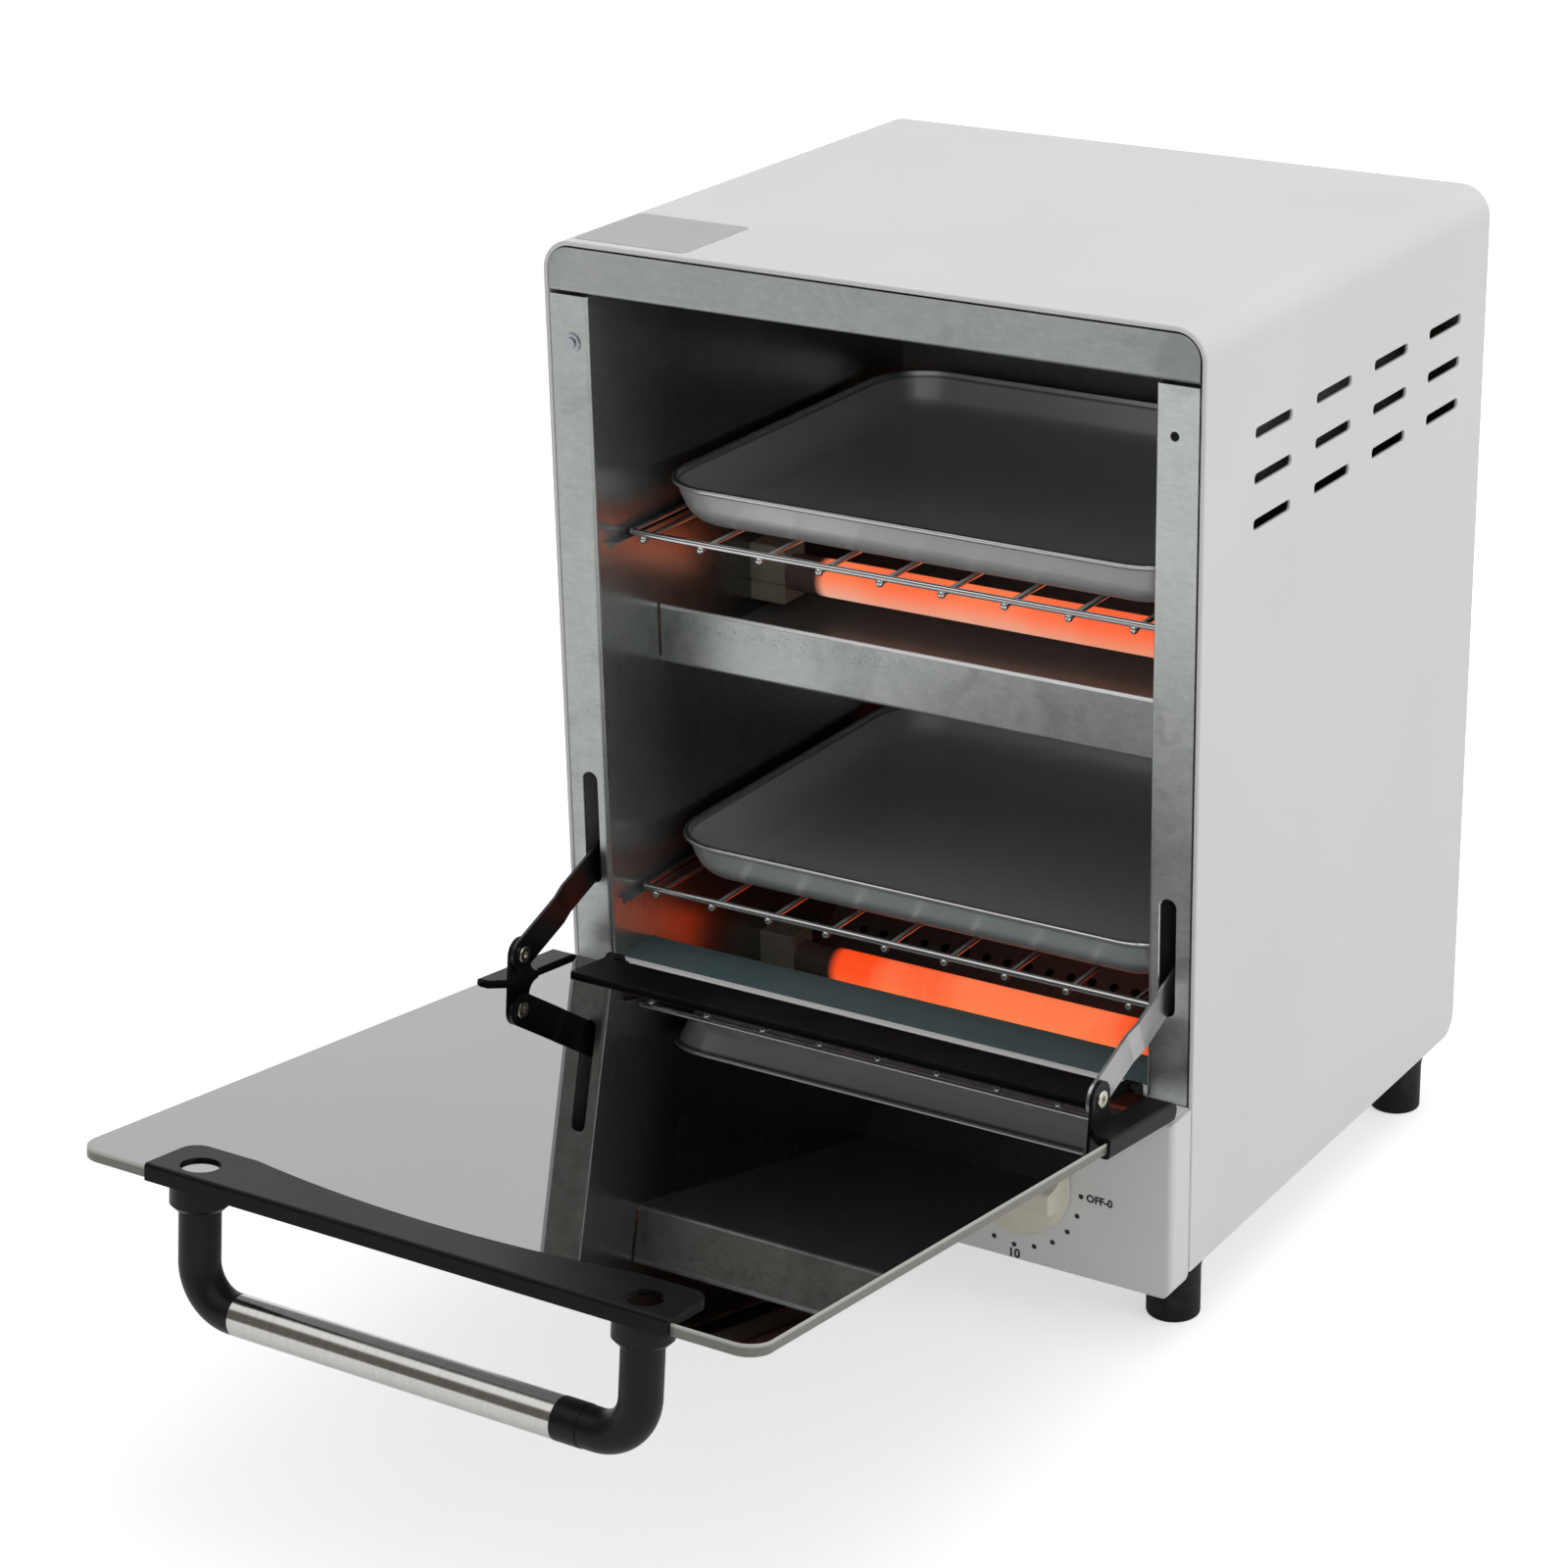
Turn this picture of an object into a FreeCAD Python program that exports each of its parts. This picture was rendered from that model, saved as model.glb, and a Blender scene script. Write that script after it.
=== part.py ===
import FreeCAD, Part
import math
import os

# Dry heat sterilizer: a small bench oven with a drop-down glass door, two heating tubes,
# two wire racks that carry steel trays, and a control panel under the door.
# Millimetres, +Z up from the bench, the front looks along -Y.
# Every piece is modelled with y = 0 at the cover's front edge. The last lines move all of
# them so that the middle of the whole depth, door open, stands on the origin.

Vector = FreeCAD.Vector

# Cover
cover_width = 250.0
rear_space = 13.6
cover_top = 350.2
foot_height = 25.0
cover_sheet = 0.9
cover_hem = 1.8
cover_hem_depth = 8.0
cover_top_radius = 11.0
cover_rear_radius = 8.0
cover_edge_round = 0.6
rear_flange_width = 12.0

# Vent slots in both sides of the cover
vent_length = 26.8
vent_height = 3.8
vent_corner = 1.5
vent_front = 48.5
vent_pitch_y = 44.9
vent_pitch_z = 15.25
vent_drop = 41.9
vent_columns = 4
vent_rows = 3

# Sheet metal of the inner frame and the base
frame_sheet = 0.8
frame_gap = 0.5
frame_bend = 1.6
base_sheet = 1.2
base_flange = 9.0
base_rear_flange = 15.0
back_sheet = 1.0
overrun = 5.0
tiny = 0.01

# Control panel
panel_front = 13.5
panel_top = 86.0
panel_bottom = 19.6
panel_sheet = 1.2
panel_side_round = 2.2
panel_corner = 6.0
panel_top_round = 2.0
panel_seam = 1.2
panel_slit = 0.4
panel_slit_length = 9.0
ledge_step = 2.0
ledge_step_front = 2.6
ledge_step_depth = 3.8
ledge_step_inset = 7.0

# Chamber
pillar_width = 15.2
pillar_gap = 0.3
rail_height = 15.6
rail_corner = 8.0
rail_seam = 0.8
floor_strip_depth = 25.0
floor_front_flange = 8.0
well_floor = 36.0
divider_height = 191.0
divider_front = 36.0
divider_lip = 21.5
divider_lip_gap = 0.6
divider_lip_round = 0.35

# Slots and the small holes of the pillars
slot_inset = 7.1
slot_width = 5.9
slot_bottom = 117.0
slot_top = 159.0
slot_chamfer = 0.25
pillar_hole_inset = 6.8
pillar_hole_drop = 17.2
pillar_hole_radius = 1.6
rivet_washer_radius = 3.35
rivet_washer_thickness = 0.6
rivet_head_radius = 1.9
rivet_head_height = 0.7

# Perforated reflector behind the lower tube
reflector_front = 132.0
reflector_rise = 60.0
perforation_radius = 1.75
perforation_pitch = 9.2
perforation_first = 17.8
perforation_row_pitch = 9.2
perforation_rows = 3
perforation_margin = 6.0

# Heating tubes and their ceramic holders
heater_depth_share = 0.502
upper_heater_above_divider = 16.0
lower_heater_above_well = 16.0
heater_radius = 7.0
heater_cap_radius = 5.5
heater_cap_length = 6.0
holder_length = 14.5
holder_width = 15.0
holder_height = 22.0
holder_edge = 1.0
holder_groove = 1.0
holder_groove_drop = 3.0
heater_fit = 0.1

# Wire racks, their runners and the trays
rack_rod_radius = 1.2
rack_wire_radius = 1.0
rack_wire_count = 9
rack_wire_inset = 9.8
rack_wire_shift = 4.0
rack_wire_bite = 0.2
rack_wire_overhang = 0.6
rack_weld_radius = 1.5
rack_corner = 3.0
rack_front = 17.2
rack_length = 175.0
rack_rear_gap = 12.8
rack_side_gap = 0.5
upper_rack_above_heater = 37.7
lower_rack_above_heater = 59.0
runner_width = 3.4
runner_drop = 2.6
runner_front = 8.0
slide_gap = 0.2
tray_sheet = 0.7
tray_flare = 6.0
tray_height = 17.0
tray_rim_corner = 22.0
tray_floor_corner = 17.0
tray_floor_bend = 12.5
tray_bead_radius = 0.9
tray_front_gap = 8.8
tray_rear_overhang = 5.0
tray_side_gap = 3.2

# Dial, knobs and what is behind them
knob_inset = 59.4
knob_height = 52.0
knob_radius = 21.2
knob_face_radius = 19.3
knob_skirt = 3.8
knob_rim = 0.95
knob_dome = 1.2
knob_dome_share = 0.75
knob_proud = 14.0
knob_grip_radius = 20.9
knob_grip_base = 18.0
knob_grip_top = 8.0
knob_grip_waist_share = 0.25
knob_grip_rise_share = 0.33
knob_grip_round = 1.2
knob_panel_gap = 0.3
spindle_radius = 3.0
spindle_reach = 11.0
spindle_fit = 0.05
spindle_hole_gap = 0.6
timer_size = 44.0
timer_depth = 26.0
timer_plate = 1.2
timer_plate_size = 50.0
timer_cap_radius = 17.0
timer_cap_depth = 8.0
thermostat_radius = 19.0
thermostat_depth = 17.0
thermostat_neck_radius = 9.0
thermostat_neck = 6.0
lamp_radius = 4.0
lamp_bezel_radius = 5.2
lamp_bezel = 1.4
lamp_lens_rise = 1.6
lamp_lens_round = 1.28
lamp_body_length = 18.0
terminal_length = 44.0
terminal_width = 14.0
terminal_height = 13.0
terminal_front = 4.0
terminal_ways = 4
terminal_hole_radius = 2.2
terminal_hole_depth = 6.0

# Insulation boards
insulation_gap = 2.5
roof_board = 11.0
back_board = 8.5
back_board_rise = 30.0

# Feet
foot_inset = 13.0
foot_front = 14.0
foot_rear_inset = 21.6
foot_radius = 9.35
foot_top_radius = 12.0
foot_flare = 9.0
foot_flare_radius_share = 0.25
foot_flare_height_share = 0.55
foot_recess_radius = 5.0
foot_recess = 9.0
foot_edge = 1.0
foot_screw_radius = 2.0
foot_screw_head_radius = 3.7
foot_screw_head = 2.6
foot_nut_radius = 4.0
foot_nut = 3.2
screw_gap = 0.2

# Back: screws of the cover and the cable gland
cover_screw_radius = 1.6
cover_screw_head_radius = 3.5
cover_screw_head = 1.8
cover_screw_round = 0.9
cover_screw_length = 6.0
cover_screw_recess = 1.0
cover_screw_recess_width = 1.0
cover_screw_recess_length = 4.0
cover_screw_first = 62.0
cover_screw_drop = 32.2
cover_screws_per_side = 3
gland_inset = 45.0
gland_height = 52.0
gland_flange_radius = 11.0
gland_flange = 4.0
gland_neck_radius = 8.5
gland_neck = 9.0
gland_neck_round = 2.25
gland_thread_radius = 6.0
gland_nut_radius = 9.5
gland_nut = 4.0
gland_bore_radius = 3.3

# Label on top of the cover, front left
label_inset = 10.0
label_width = 45.0
label_front = 4.0
label_length = 40.5
label_thickness = 0.15
label_corner = 2.0

# Door at rest: the inner face is a plane through (y = 0, z = door_plane_height), tilted up
# towards the front. v runs along it from the cabinet to the handle, h goes down through the
# glass. Positions in the door are (u, v, h).
door_plane_height = 90.8
door_tilt = 7.44
glass_side_inset = 1.3
glass_rear = 10.0
glass_length = 252.8
glass_thickness = 4.0
glass_corner = 8.0
glass_rear_corner = 2.0
glass_chamfer = 0.4
hinge_v = 3.8
hinge_h = 1.8

# Hinge channel, its knuckles and the fixed tabs
channel_sheet = 1.5
channel_web = 1.2
channel_side_inset = 20.5
channel_depth = 22.0
channel_lip = 14.0
channel_round = 0.5
channel_notch_inset = 49.5
channel_notch = 0.8
knuckle_radius = 3.2
knuckle_width = 2.8
hinge_pin_radius = 1.5
hinge_pin_fit = 0.05
hinge_pin_reach = 8.0
hinge_tab_gap = 0.3
hinge_tab_thickness = 2.2

# Clips on the glass, with a lug for the stay arm
clip_sheet = 1.5
clip_wall = 1.2
clip_rear = 11.3
clip_front = 58.0
clip_width = 9.6
clip_under = 4.0
clip_cut = 5.0
lug_thickness = 1.2
lug_rear = 36.6
lug_v = 47.7
lug_rise = 10.1
lug_radius = 6.0
lug_out = 0.2

# Stay arms
arm_width = 12.0
arm_thickness = 1.1
arm_length = 78.0
arm_angle = 20.0
arm_angle_closed = 5.0
arm_joggle = 1.0
arm_joggle_start = 24.0
arm_joggle_length = 6.0
arm_gap = 0.2
hook_gap = 0.6
hook_width = 6.0
hook_depth = 3.0
arm_tail_hole = 2.2
stay_rivet_radius = 2.0
stay_rivet_head_radius = 3.0
stay_rivet_head = 0.8
stay_rivet_round = 0.4
stay_rivet_fit = 0.06
stay_rivet_hollow_radius = 1.2
stay_rivet_hollow = 0.7

# Handle and its folded plate
plate_sheet = 1.5
plate_bend = 1.2
plate_end = 14.0
plate_depth = 22.8
plate_middle_cut = 7.0
plate_cut_end = 25.0
plate_corner = 6.0
plate_hole_radius = 6.2
plate_lip = 5.5
handle_inset = 44.0
handle_v_inset = 7.8
handle_axis_height = 43.0
handle_radius = 6.55
post_radius = 6.5
collar_radius = 9.3
collar_height = 7.7
collar_chamfer = 1.5
collar_hole_gap = 0.2
elbow_bend = 14.0
left_elbow_straight = 2.0
right_elbow_straight = 13.0
sleeve_length = 9.0
sleeve_rise = 0.2
spigot_radius = 4.0
spigot_length = 6.0
spigot_fit = 0.1
handle_screw_radius = 2.5
handle_screw_head_radius = 6.0
handle_screw_head = 0.5
handle_screw_grip = 12.0
glass_hole_radius = 3.5
handle_screw_fit = 0.05

# Places worked out from the sizes above
half_width = cover_width / 2
rack_rear = rack_front + rack_length
chamber_depth = rack_rear + rack_rear_gap
cover_depth = chamber_depth + rear_space
frame_edge = half_width - cover_hem - frame_gap
wall_x = frame_edge - pillar_width
rail_top = cover_top - cover_hem - frame_gap
rail_bottom = rail_top - rail_height
ledge_top = panel_top + ledge_step
floor_top = ledge_top
back_panel_outer = cover_depth - cover_sheet
back_panel_inner = back_panel_outer - back_sheet
slot_x = wall_x + slot_inset
pillar_hole_x = wall_x + pillar_hole_inset
pillar_hole_z = rail_bottom - pillar_hole_drop
floor_front = ledge_step_depth - ledge_step_front
heater_y = chamber_depth * heater_depth_share
upper_heater_z = divider_height + upper_heater_above_divider
lower_heater_z = well_floor + lower_heater_above_well
heater_half = wall_x - holder_length
upper_rack_height = upper_heater_z + upper_rack_above_heater
lower_rack_height = lower_heater_z + lower_rack_above_heater
rack_side_x = wall_x - rack_side_gap - rack_rod_radius
rack_wire_side = rack_side_x - rack_wire_inset
tray_length = rack_length - tray_front_gap + tray_rear_overhang
knob_spread = half_width - knob_inset
foot_spread = half_width - foot_inset
gland_x = half_width - gland_inset
glass_half = half_width - glass_side_inset
glass_front = glass_rear + glass_length
channel_half = half_width - channel_side_inset
channel_rear = glass_rear - channel_web
channel_front = channel_rear + channel_depth
channel_notch_half = channel_half - channel_notch_inset
knuckle_inner = channel_half - knuckle_width
tab_inner = channel_half + hinge_tab_gap
tab_outer = tab_inner + hinge_tab_thickness
clip_outer = glass_half + clip_wall
clip_inner = clip_outer - clip_width
lug_outer = slot_x + lug_out + lug_thickness / 2
lug_inner = lug_outer - lug_thickness
arm_outer = lug_inner - arm_gap
arm_inner = arm_outer - arm_thickness
handle_v = glass_front - handle_v_inset
handle_spread = half_width - handle_inset
plate_half_width = handle_spread + plate_end
plate_cut_half = plate_half_width - plate_cut_end


# Shape helpers

def block(x0, x1, y0, y1, z0, z1):
    return Part.makeBox(x1 - x0, y1 - y0, z1 - z0, Vector(x0, y0, z0))


def rod(start, end, radius):
    """A round bar between two points."""
    along = end - start
    return Part.makeCylinder(radius, along.Length, start, along)


def corner_arc(before, corner, after, radius):
    """The arc that rounds a corner, as its start, its middle and its end."""
    back = (before - corner).normalize()
    ahead = (after - corner).normalize()
    half_angle = back.getAngle(ahead) / 2
    reach = radius / math.tan(half_angle)
    depth = radius / math.sin(half_angle) - radius
    return corner + back * reach, corner + (back + ahead).normalize() * depth, corner + ahead * reach


def path_wire(points, radii, closed):
    """A wire through points whose corners are arcs of the given radii; 0 leaves a corner sharp."""
    count = len(points)
    stops = []
    edges = []
    for i in range(count):
        if radii[i] == 0:
            stops.append((points[i], points[i], None))
            continue
        start, middle, end = corner_arc(points[i - 1], points[i], points[(i + 1) % count], radii[i])
        stops.append((start, end, middle))
    for i in range(count):
        start, end, middle = stops[i]
        if middle is not None:
            edges.append(Part.Arc(start, middle, end).toShape())
        following = stops[(i + 1) % count][0]
        last = i == count - 1 and not closed
        if not last and (following - end).Length > tiny:
            edges.append(Part.LineSegment(end, following).toShape())
    return Part.Wire(edges)


def slab(points, radii, along):
    """A closed outline with rounded corners, swept straight along a vector."""
    return Part.Face(path_wire(points, radii, True)).extrude(along)


def bar(points, bend, radius):
    """A round bar bent to one radius at each inner point of its path."""
    radii = [0] + [bend] * (len(points) - 2) + [0]
    spine = path_wire(points, radii, False)
    circle = Part.Wire(Part.makeCircle(radius, points[0], points[1] - points[0]))
    return spine.makePipeShell([circle], True, False)


def ring_bar(x_half, y0, y1, z, corner, radius):
    """A round bar bent to a closed rectangle with rounded corners."""
    straight_x = x_half - corner
    parts = []
    for y in (y0, y1):
        parts.append(rod(Vector(-straight_x, y, z), Vector(straight_x, y, z), radius))
    for x in (-x_half, x_half):
        parts.append(rod(Vector(x, y0 + corner, z), Vector(x, y1 - corner, z), radius))
    for x, y, turn in ((straight_x, y1 - corner, 0), (-straight_x, y1 - corner, 90),
                       (-straight_x, y0 + corner, 180), (straight_x, y0 + corner, 270)):
        torus = Part.makeTorus(corner, radius, Vector(0, 0, 0), Vector(0, 0, 1), 0, 360, 90)
        torus.rotate(Vector(0, 0, 0), Vector(0, 0, 1), turn)
        torus.translate(Vector(x, y, z))
        parts.append(torus)
    return united(parts)


def united(parts):
    return parts[0].multiFuse(parts[1:]).removeSplitter()


def mirrored(shape):
    return shape.mirror(Vector(0, 0, 0), Vector(1, 0, 0))


def edges_where(shape, test):
    return [edge for edge in shape.Edges if test(edge.BoundBox, edge)]


def add_pair(name, shape):
    """The piece on the right side and its mirror image on the left."""
    nodes["right_" + name] = shape
    nodes["left_" + name] = mirrored(shape)


# Cover, back and base

def arch(inset, y0, y1, drop):
    """A solid arch with the cover's front outline, set in from its outside."""
    side = half_width - inset
    top = cover_top - inset
    foot = foot_height - drop
    radius = max(cover_top_radius - inset, 0)
    points = [Vector(-side, y0, foot), Vector(-side, y0, top), Vector(side, y0, top), Vector(side, y0, foot)]
    return slab(points, [0, radius, radius, 0], Vector(0, y1 - y0, 0))


def side_slot(y, z):
    """One vent slot, cut through both sides of the cover."""
    y0 = y - vent_length / 2
    y1 = y + vent_length / 2
    z0 = z - vent_height / 2
    z1 = z + vent_height / 2
    x = -half_width - overrun
    points = [Vector(x, y0, z0), Vector(x, y1, z0), Vector(x, y1, z1), Vector(x, y0, z1)]
    return slab(points, [vent_corner] * 4, Vector(cover_width + 2 * overrun, 0, 0))


def cover_screw_places():
    places = []
    pitch = (cover_top - cover_screw_drop - cover_screw_first) / (cover_screws_per_side - 1)
    for side in (-1, 1):
        for i in range(cover_screws_per_side):
            x = side * (half_width - rear_flange_width / 2)
            places.append((x, cover_screw_first + i * pitch))
    return places


def make_outer_cover():
    shell = arch(0, 0, cover_depth, 0)
    shell = shell.cut(arch(cover_sheet, -overrun, cover_depth + overrun, overrun))
    hem = arch(cover_sheet, 0, cover_hem_depth, 0)
    hem = hem.cut(arch(cover_hem, -overrun, cover_hem_depth + overrun, overrun))
    flange = arch(cover_sheet, back_panel_outer, cover_depth, 0)
    flange = flange.cut(arch(rear_flange_width, back_panel_outer - overrun, cover_depth + overrun, overrun))
    cover = united([shell, hem, flange])
    x = -half_width - overrun
    outline = [Vector(x, 0, foot_height), Vector(x, 0, cover_top), Vector(x, cover_depth, cover_top),
               Vector(x, cover_depth, foot_height)]
    side_view = slab(outline, [0, 0, 0, cover_rear_radius], Vector(cover_width + 2 * overrun, 0, 0))
    cover = cover.common(side_view)
    cuts = []
    for column in range(vent_columns):
        for row in range(vent_rows):
            y = vent_front + column * vent_pitch_y
            cuts.append(side_slot(y, cover_top - vent_drop - row * vent_pitch_z))
    for x, z in cover_screw_places():
        cuts.append(rod(Vector(x, back_panel_outer - overrun, z), Vector(x, cover_depth + overrun, z),
                        cover_screw_radius + screw_gap))
    cover = cover.cut(cuts)
    front = edges_where(cover, lambda box, edge: box.YMax < tiny and edge.Length > 2 * cover_hem)
    return cover.makeFillet(cover_edge_round, front)


def make_back_panel():
    panel = arch(cover_sheet + screw_gap, back_panel_inner, back_panel_outer, 0)
    panel = panel.common(block(-cover_width, cover_width, 0, cover_depth, foot_height + cover_rear_radius,
                               cover_top))
    cuts = []
    for x, z in cover_screw_places():
        cuts.append(rod(Vector(x, back_panel_inner - overrun, z), Vector(x, back_panel_outer + overrun, z),
                        cover_screw_radius + screw_gap))
    cuts.append(rod(Vector(gland_x, back_panel_inner - overrun, gland_height),
                    Vector(gland_x, back_panel_outer + overrun, gland_height),
                    gland_thread_radius + screw_gap))
    return panel.cut(cuts)


def make_base_plate():
    side = half_width - cover_hem
    top = foot_height + base_sheet
    rear = back_panel_inner
    bend = cover_rear_radius
    outline = [Vector(-side, 0, foot_height), Vector(-side, rear, foot_height),
               Vector(-side, rear, foot_height + base_rear_flange),
               Vector(-side, rear - base_sheet, foot_height + base_rear_flange),
               Vector(-side, rear - base_sheet, top), Vector(-side, 0, top)]
    plate = slab(outline, [0, bend, 0, 0, bend - base_sheet, 0], Vector(2 * side, 0, 0))
    flange = block(side - base_sheet, side, 0, rear - bend, foot_height, foot_height + base_flange)
    plate = united([plate, flange, mirrored(flange)])
    cuts = []
    for x, y in foot_places():
        cuts.append(rod(Vector(x, y, 0), Vector(x, y, foot_height + overrun), foot_screw_radius + screw_gap))
    return plate.cut(cuts)


def make_cover_screws():
    screws = []
    for x, z in cover_screw_places():
        seat = Vector(x, cover_depth, z)
        shank = rod(Vector(x, cover_depth - cover_screw_length, z), seat, cover_screw_radius)
        head = rod(seat, Vector(x, cover_depth + cover_screw_head, z), cover_screw_head_radius)
        rim = edges_where(head, lambda box, edge: box.YMin > cover_depth + cover_screw_head - tiny)
        head = head.makeFillet(cover_screw_round, rim)
        floor = cover_depth + cover_screw_head - cover_screw_recess
        for length, width in ((cover_screw_recess_length, cover_screw_recess_width),
                              (cover_screw_recess_width, cover_screw_recess_length)):
            head = head.cut(block(x - length / 2, x + length / 2, floor, floor + overrun, z - width / 2,
                                  z + width / 2))
        screws.append(shank.fuse(head).removeSplitter())
    return Part.makeCompound(screws)


def make_cable_gland():
    def disc(y0, y1, radius):
        return rod(Vector(gland_x, y0, gland_height), Vector(gland_x, y1, gland_height), radius)

    neck_start = back_panel_outer + gland_flange
    neck = disc(neck_start, neck_start + gland_neck, gland_neck_radius)
    end = edges_where(neck, lambda box, edge: box.YMin > neck_start + gland_neck - tiny)
    neck = neck.makeFillet(gland_neck_round, end)
    parts = [disc(back_panel_inner - gland_nut, back_panel_inner, gland_nut_radius),
             disc(back_panel_inner - gland_nut, neck_start, gland_thread_radius),
             disc(back_panel_outer, neck_start, gland_flange_radius), neck]
    gland = united(parts)
    return gland.cut(disc(back_panel_inner - gland_nut - overrun, neck_start + gland_neck + overrun,
                          gland_bore_radius))


def foot_places():
    rear = cover_depth - foot_rear_inset
    return [(-foot_spread, foot_front), (foot_spread, foot_front), (-foot_spread, rear), (foot_spread, rear)]


def make_foot(x, y):
    """A rubber foot that flares under the base, with a recess for its screw."""
    flare_start = foot_height - foot_flare
    middle = Vector(foot_radius + (foot_top_radius - foot_radius) * foot_flare_radius_share, 0,
                    flare_start + foot_flare * foot_flare_height_share)
    low = Vector(foot_radius, 0, flare_start)
    high = Vector(foot_top_radius, 0, foot_height)
    profile = [Part.LineSegment(Vector(0, 0, 0), Vector(foot_radius, 0, 0)).toShape(),
               Part.LineSegment(Vector(foot_radius, 0, 0), low).toShape(),
               Part.Arc(low, middle, high).toShape(),
               Part.LineSegment(high, Vector(0, 0, foot_height)).toShape(),
               Part.LineSegment(Vector(0, 0, foot_height), Vector(0, 0, 0)).toShape()]
    foot = Part.Face(Part.Wire(profile)).revolve(Vector(0, 0, 0), Vector(0, 0, 1), 360)
    foot.translate(Vector(x, y, 0))
    foot = foot.makeFillet(foot_edge, edges_where(foot, lambda box, edge: box.ZMax < tiny))
    recess = rod(Vector(x, y, 0), Vector(x, y, foot_recess), foot_recess_radius)
    bore = rod(Vector(x, y, 0), Vector(x, y, foot_height), foot_screw_radius + screw_gap)
    return foot.cut([recess, bore])


def make_foot_screws():
    screws = []
    nut_start = foot_height + base_sheet
    for x, y in foot_places():
        seat = Vector(x, y, foot_recess)
        head = rod(Vector(x, y, foot_recess - foot_screw_head), seat, foot_screw_head_radius)
        shank = rod(seat, Vector(x, y, nut_start + foot_nut), foot_screw_radius)
        nut = rod(Vector(x, y, nut_start), Vector(x, y, nut_start + foot_nut), foot_nut_radius)
        screws.append(united([head, shank, nut]))
    return Part.makeCompound(screws)


def make_label():
    x0 = label_inset - half_width
    y0 = label_front
    x1 = x0 + label_width
    y1 = y0 + label_length
    points = [Vector(x0, y0, cover_top), Vector(x1, y0, cover_top), Vector(x1, y1, cover_top),
              Vector(x0, y1, cover_top)]
    return slab(points, [label_corner] * 4, Vector(0, 0, label_thickness))


# Control panel, knobs and the electrical pieces behind them

def panel_form(inset, rear):
    """The panel's outside, or its inside when it is set in by the sheet."""
    x = half_width - inset
    y = -panel_front + inset
    z0 = panel_bottom + inset
    z1 = panel_top - inset
    side_round = panel_side_round - inset
    top_round = panel_top_round - inset
    plan = slab([Vector(-x, rear, z0), Vector(-x, y, z0), Vector(x, y, z0), Vector(x, rear, z0)],
                [0, side_round, side_round, 0], Vector(0, 0, z1 - z0))
    side_view = slab([Vector(-x, rear, z0), Vector(-x, y, z0), Vector(-x, y, z1), Vector(-x, rear, z1)],
                     [0, top_round, top_round, 0], Vector(2 * x, 0, 0))
    corner = panel_corner - inset
    front_view = slab([Vector(-x, y, z0), Vector(-x, y, z1), Vector(x, y, z1), Vector(x, y, z0)],
                      [corner, 0, 0, corner], Vector(0, rear - y, 0))
    return plan.common(side_view).common(front_view)


def make_control_panel():
    panel = panel_form(0, 0).cut(panel_form(panel_sheet, overrun))
    inner = half_width - panel_sheet
    for x0, x1 in ((-half_width - overrun, -inner), (inner, half_width + overrun)):
        panel = panel.cut(block(x0, x1, -panel_seam, overrun, 0, cover_top))
    slit = block(inner - panel_slit, inner, -panel_slit_length, overrun, panel_top - 2 * panel_sheet,
                 panel_top + overrun)
    panel = panel.cut([slit, mirrored(slit)])
    lip_half = half_width - panel_corner - panel_sheet
    lip = block(-lip_half, lip_half, -panel_sheet, 0, panel_bottom, foot_height + base_sheet)
    step = wall_x - ledge_step_inset
    riser = block(-step, step, -ledge_step_front, -ledge_step_front + panel_sheet, panel_top - panel_sheet,
                  ledge_top)
    tread = block(-step, step, -ledge_step_front, floor_front, ledge_top - panel_sheet, ledge_top)
    panel = united([panel, lip, riser, tread])
    cuts = []
    for x in (-knob_spread, knob_spread):
        cuts.append(rod(Vector(x, -panel_front - overrun, knob_height), Vector(x, 0, knob_height),
                        spindle_radius + spindle_hole_gap))
    cuts.append(rod(Vector(0, -panel_front - overrun, knob_height), Vector(0, 0, knob_height),
                    lamp_radius + screw_gap))
    return panel.cut(cuts)


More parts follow.
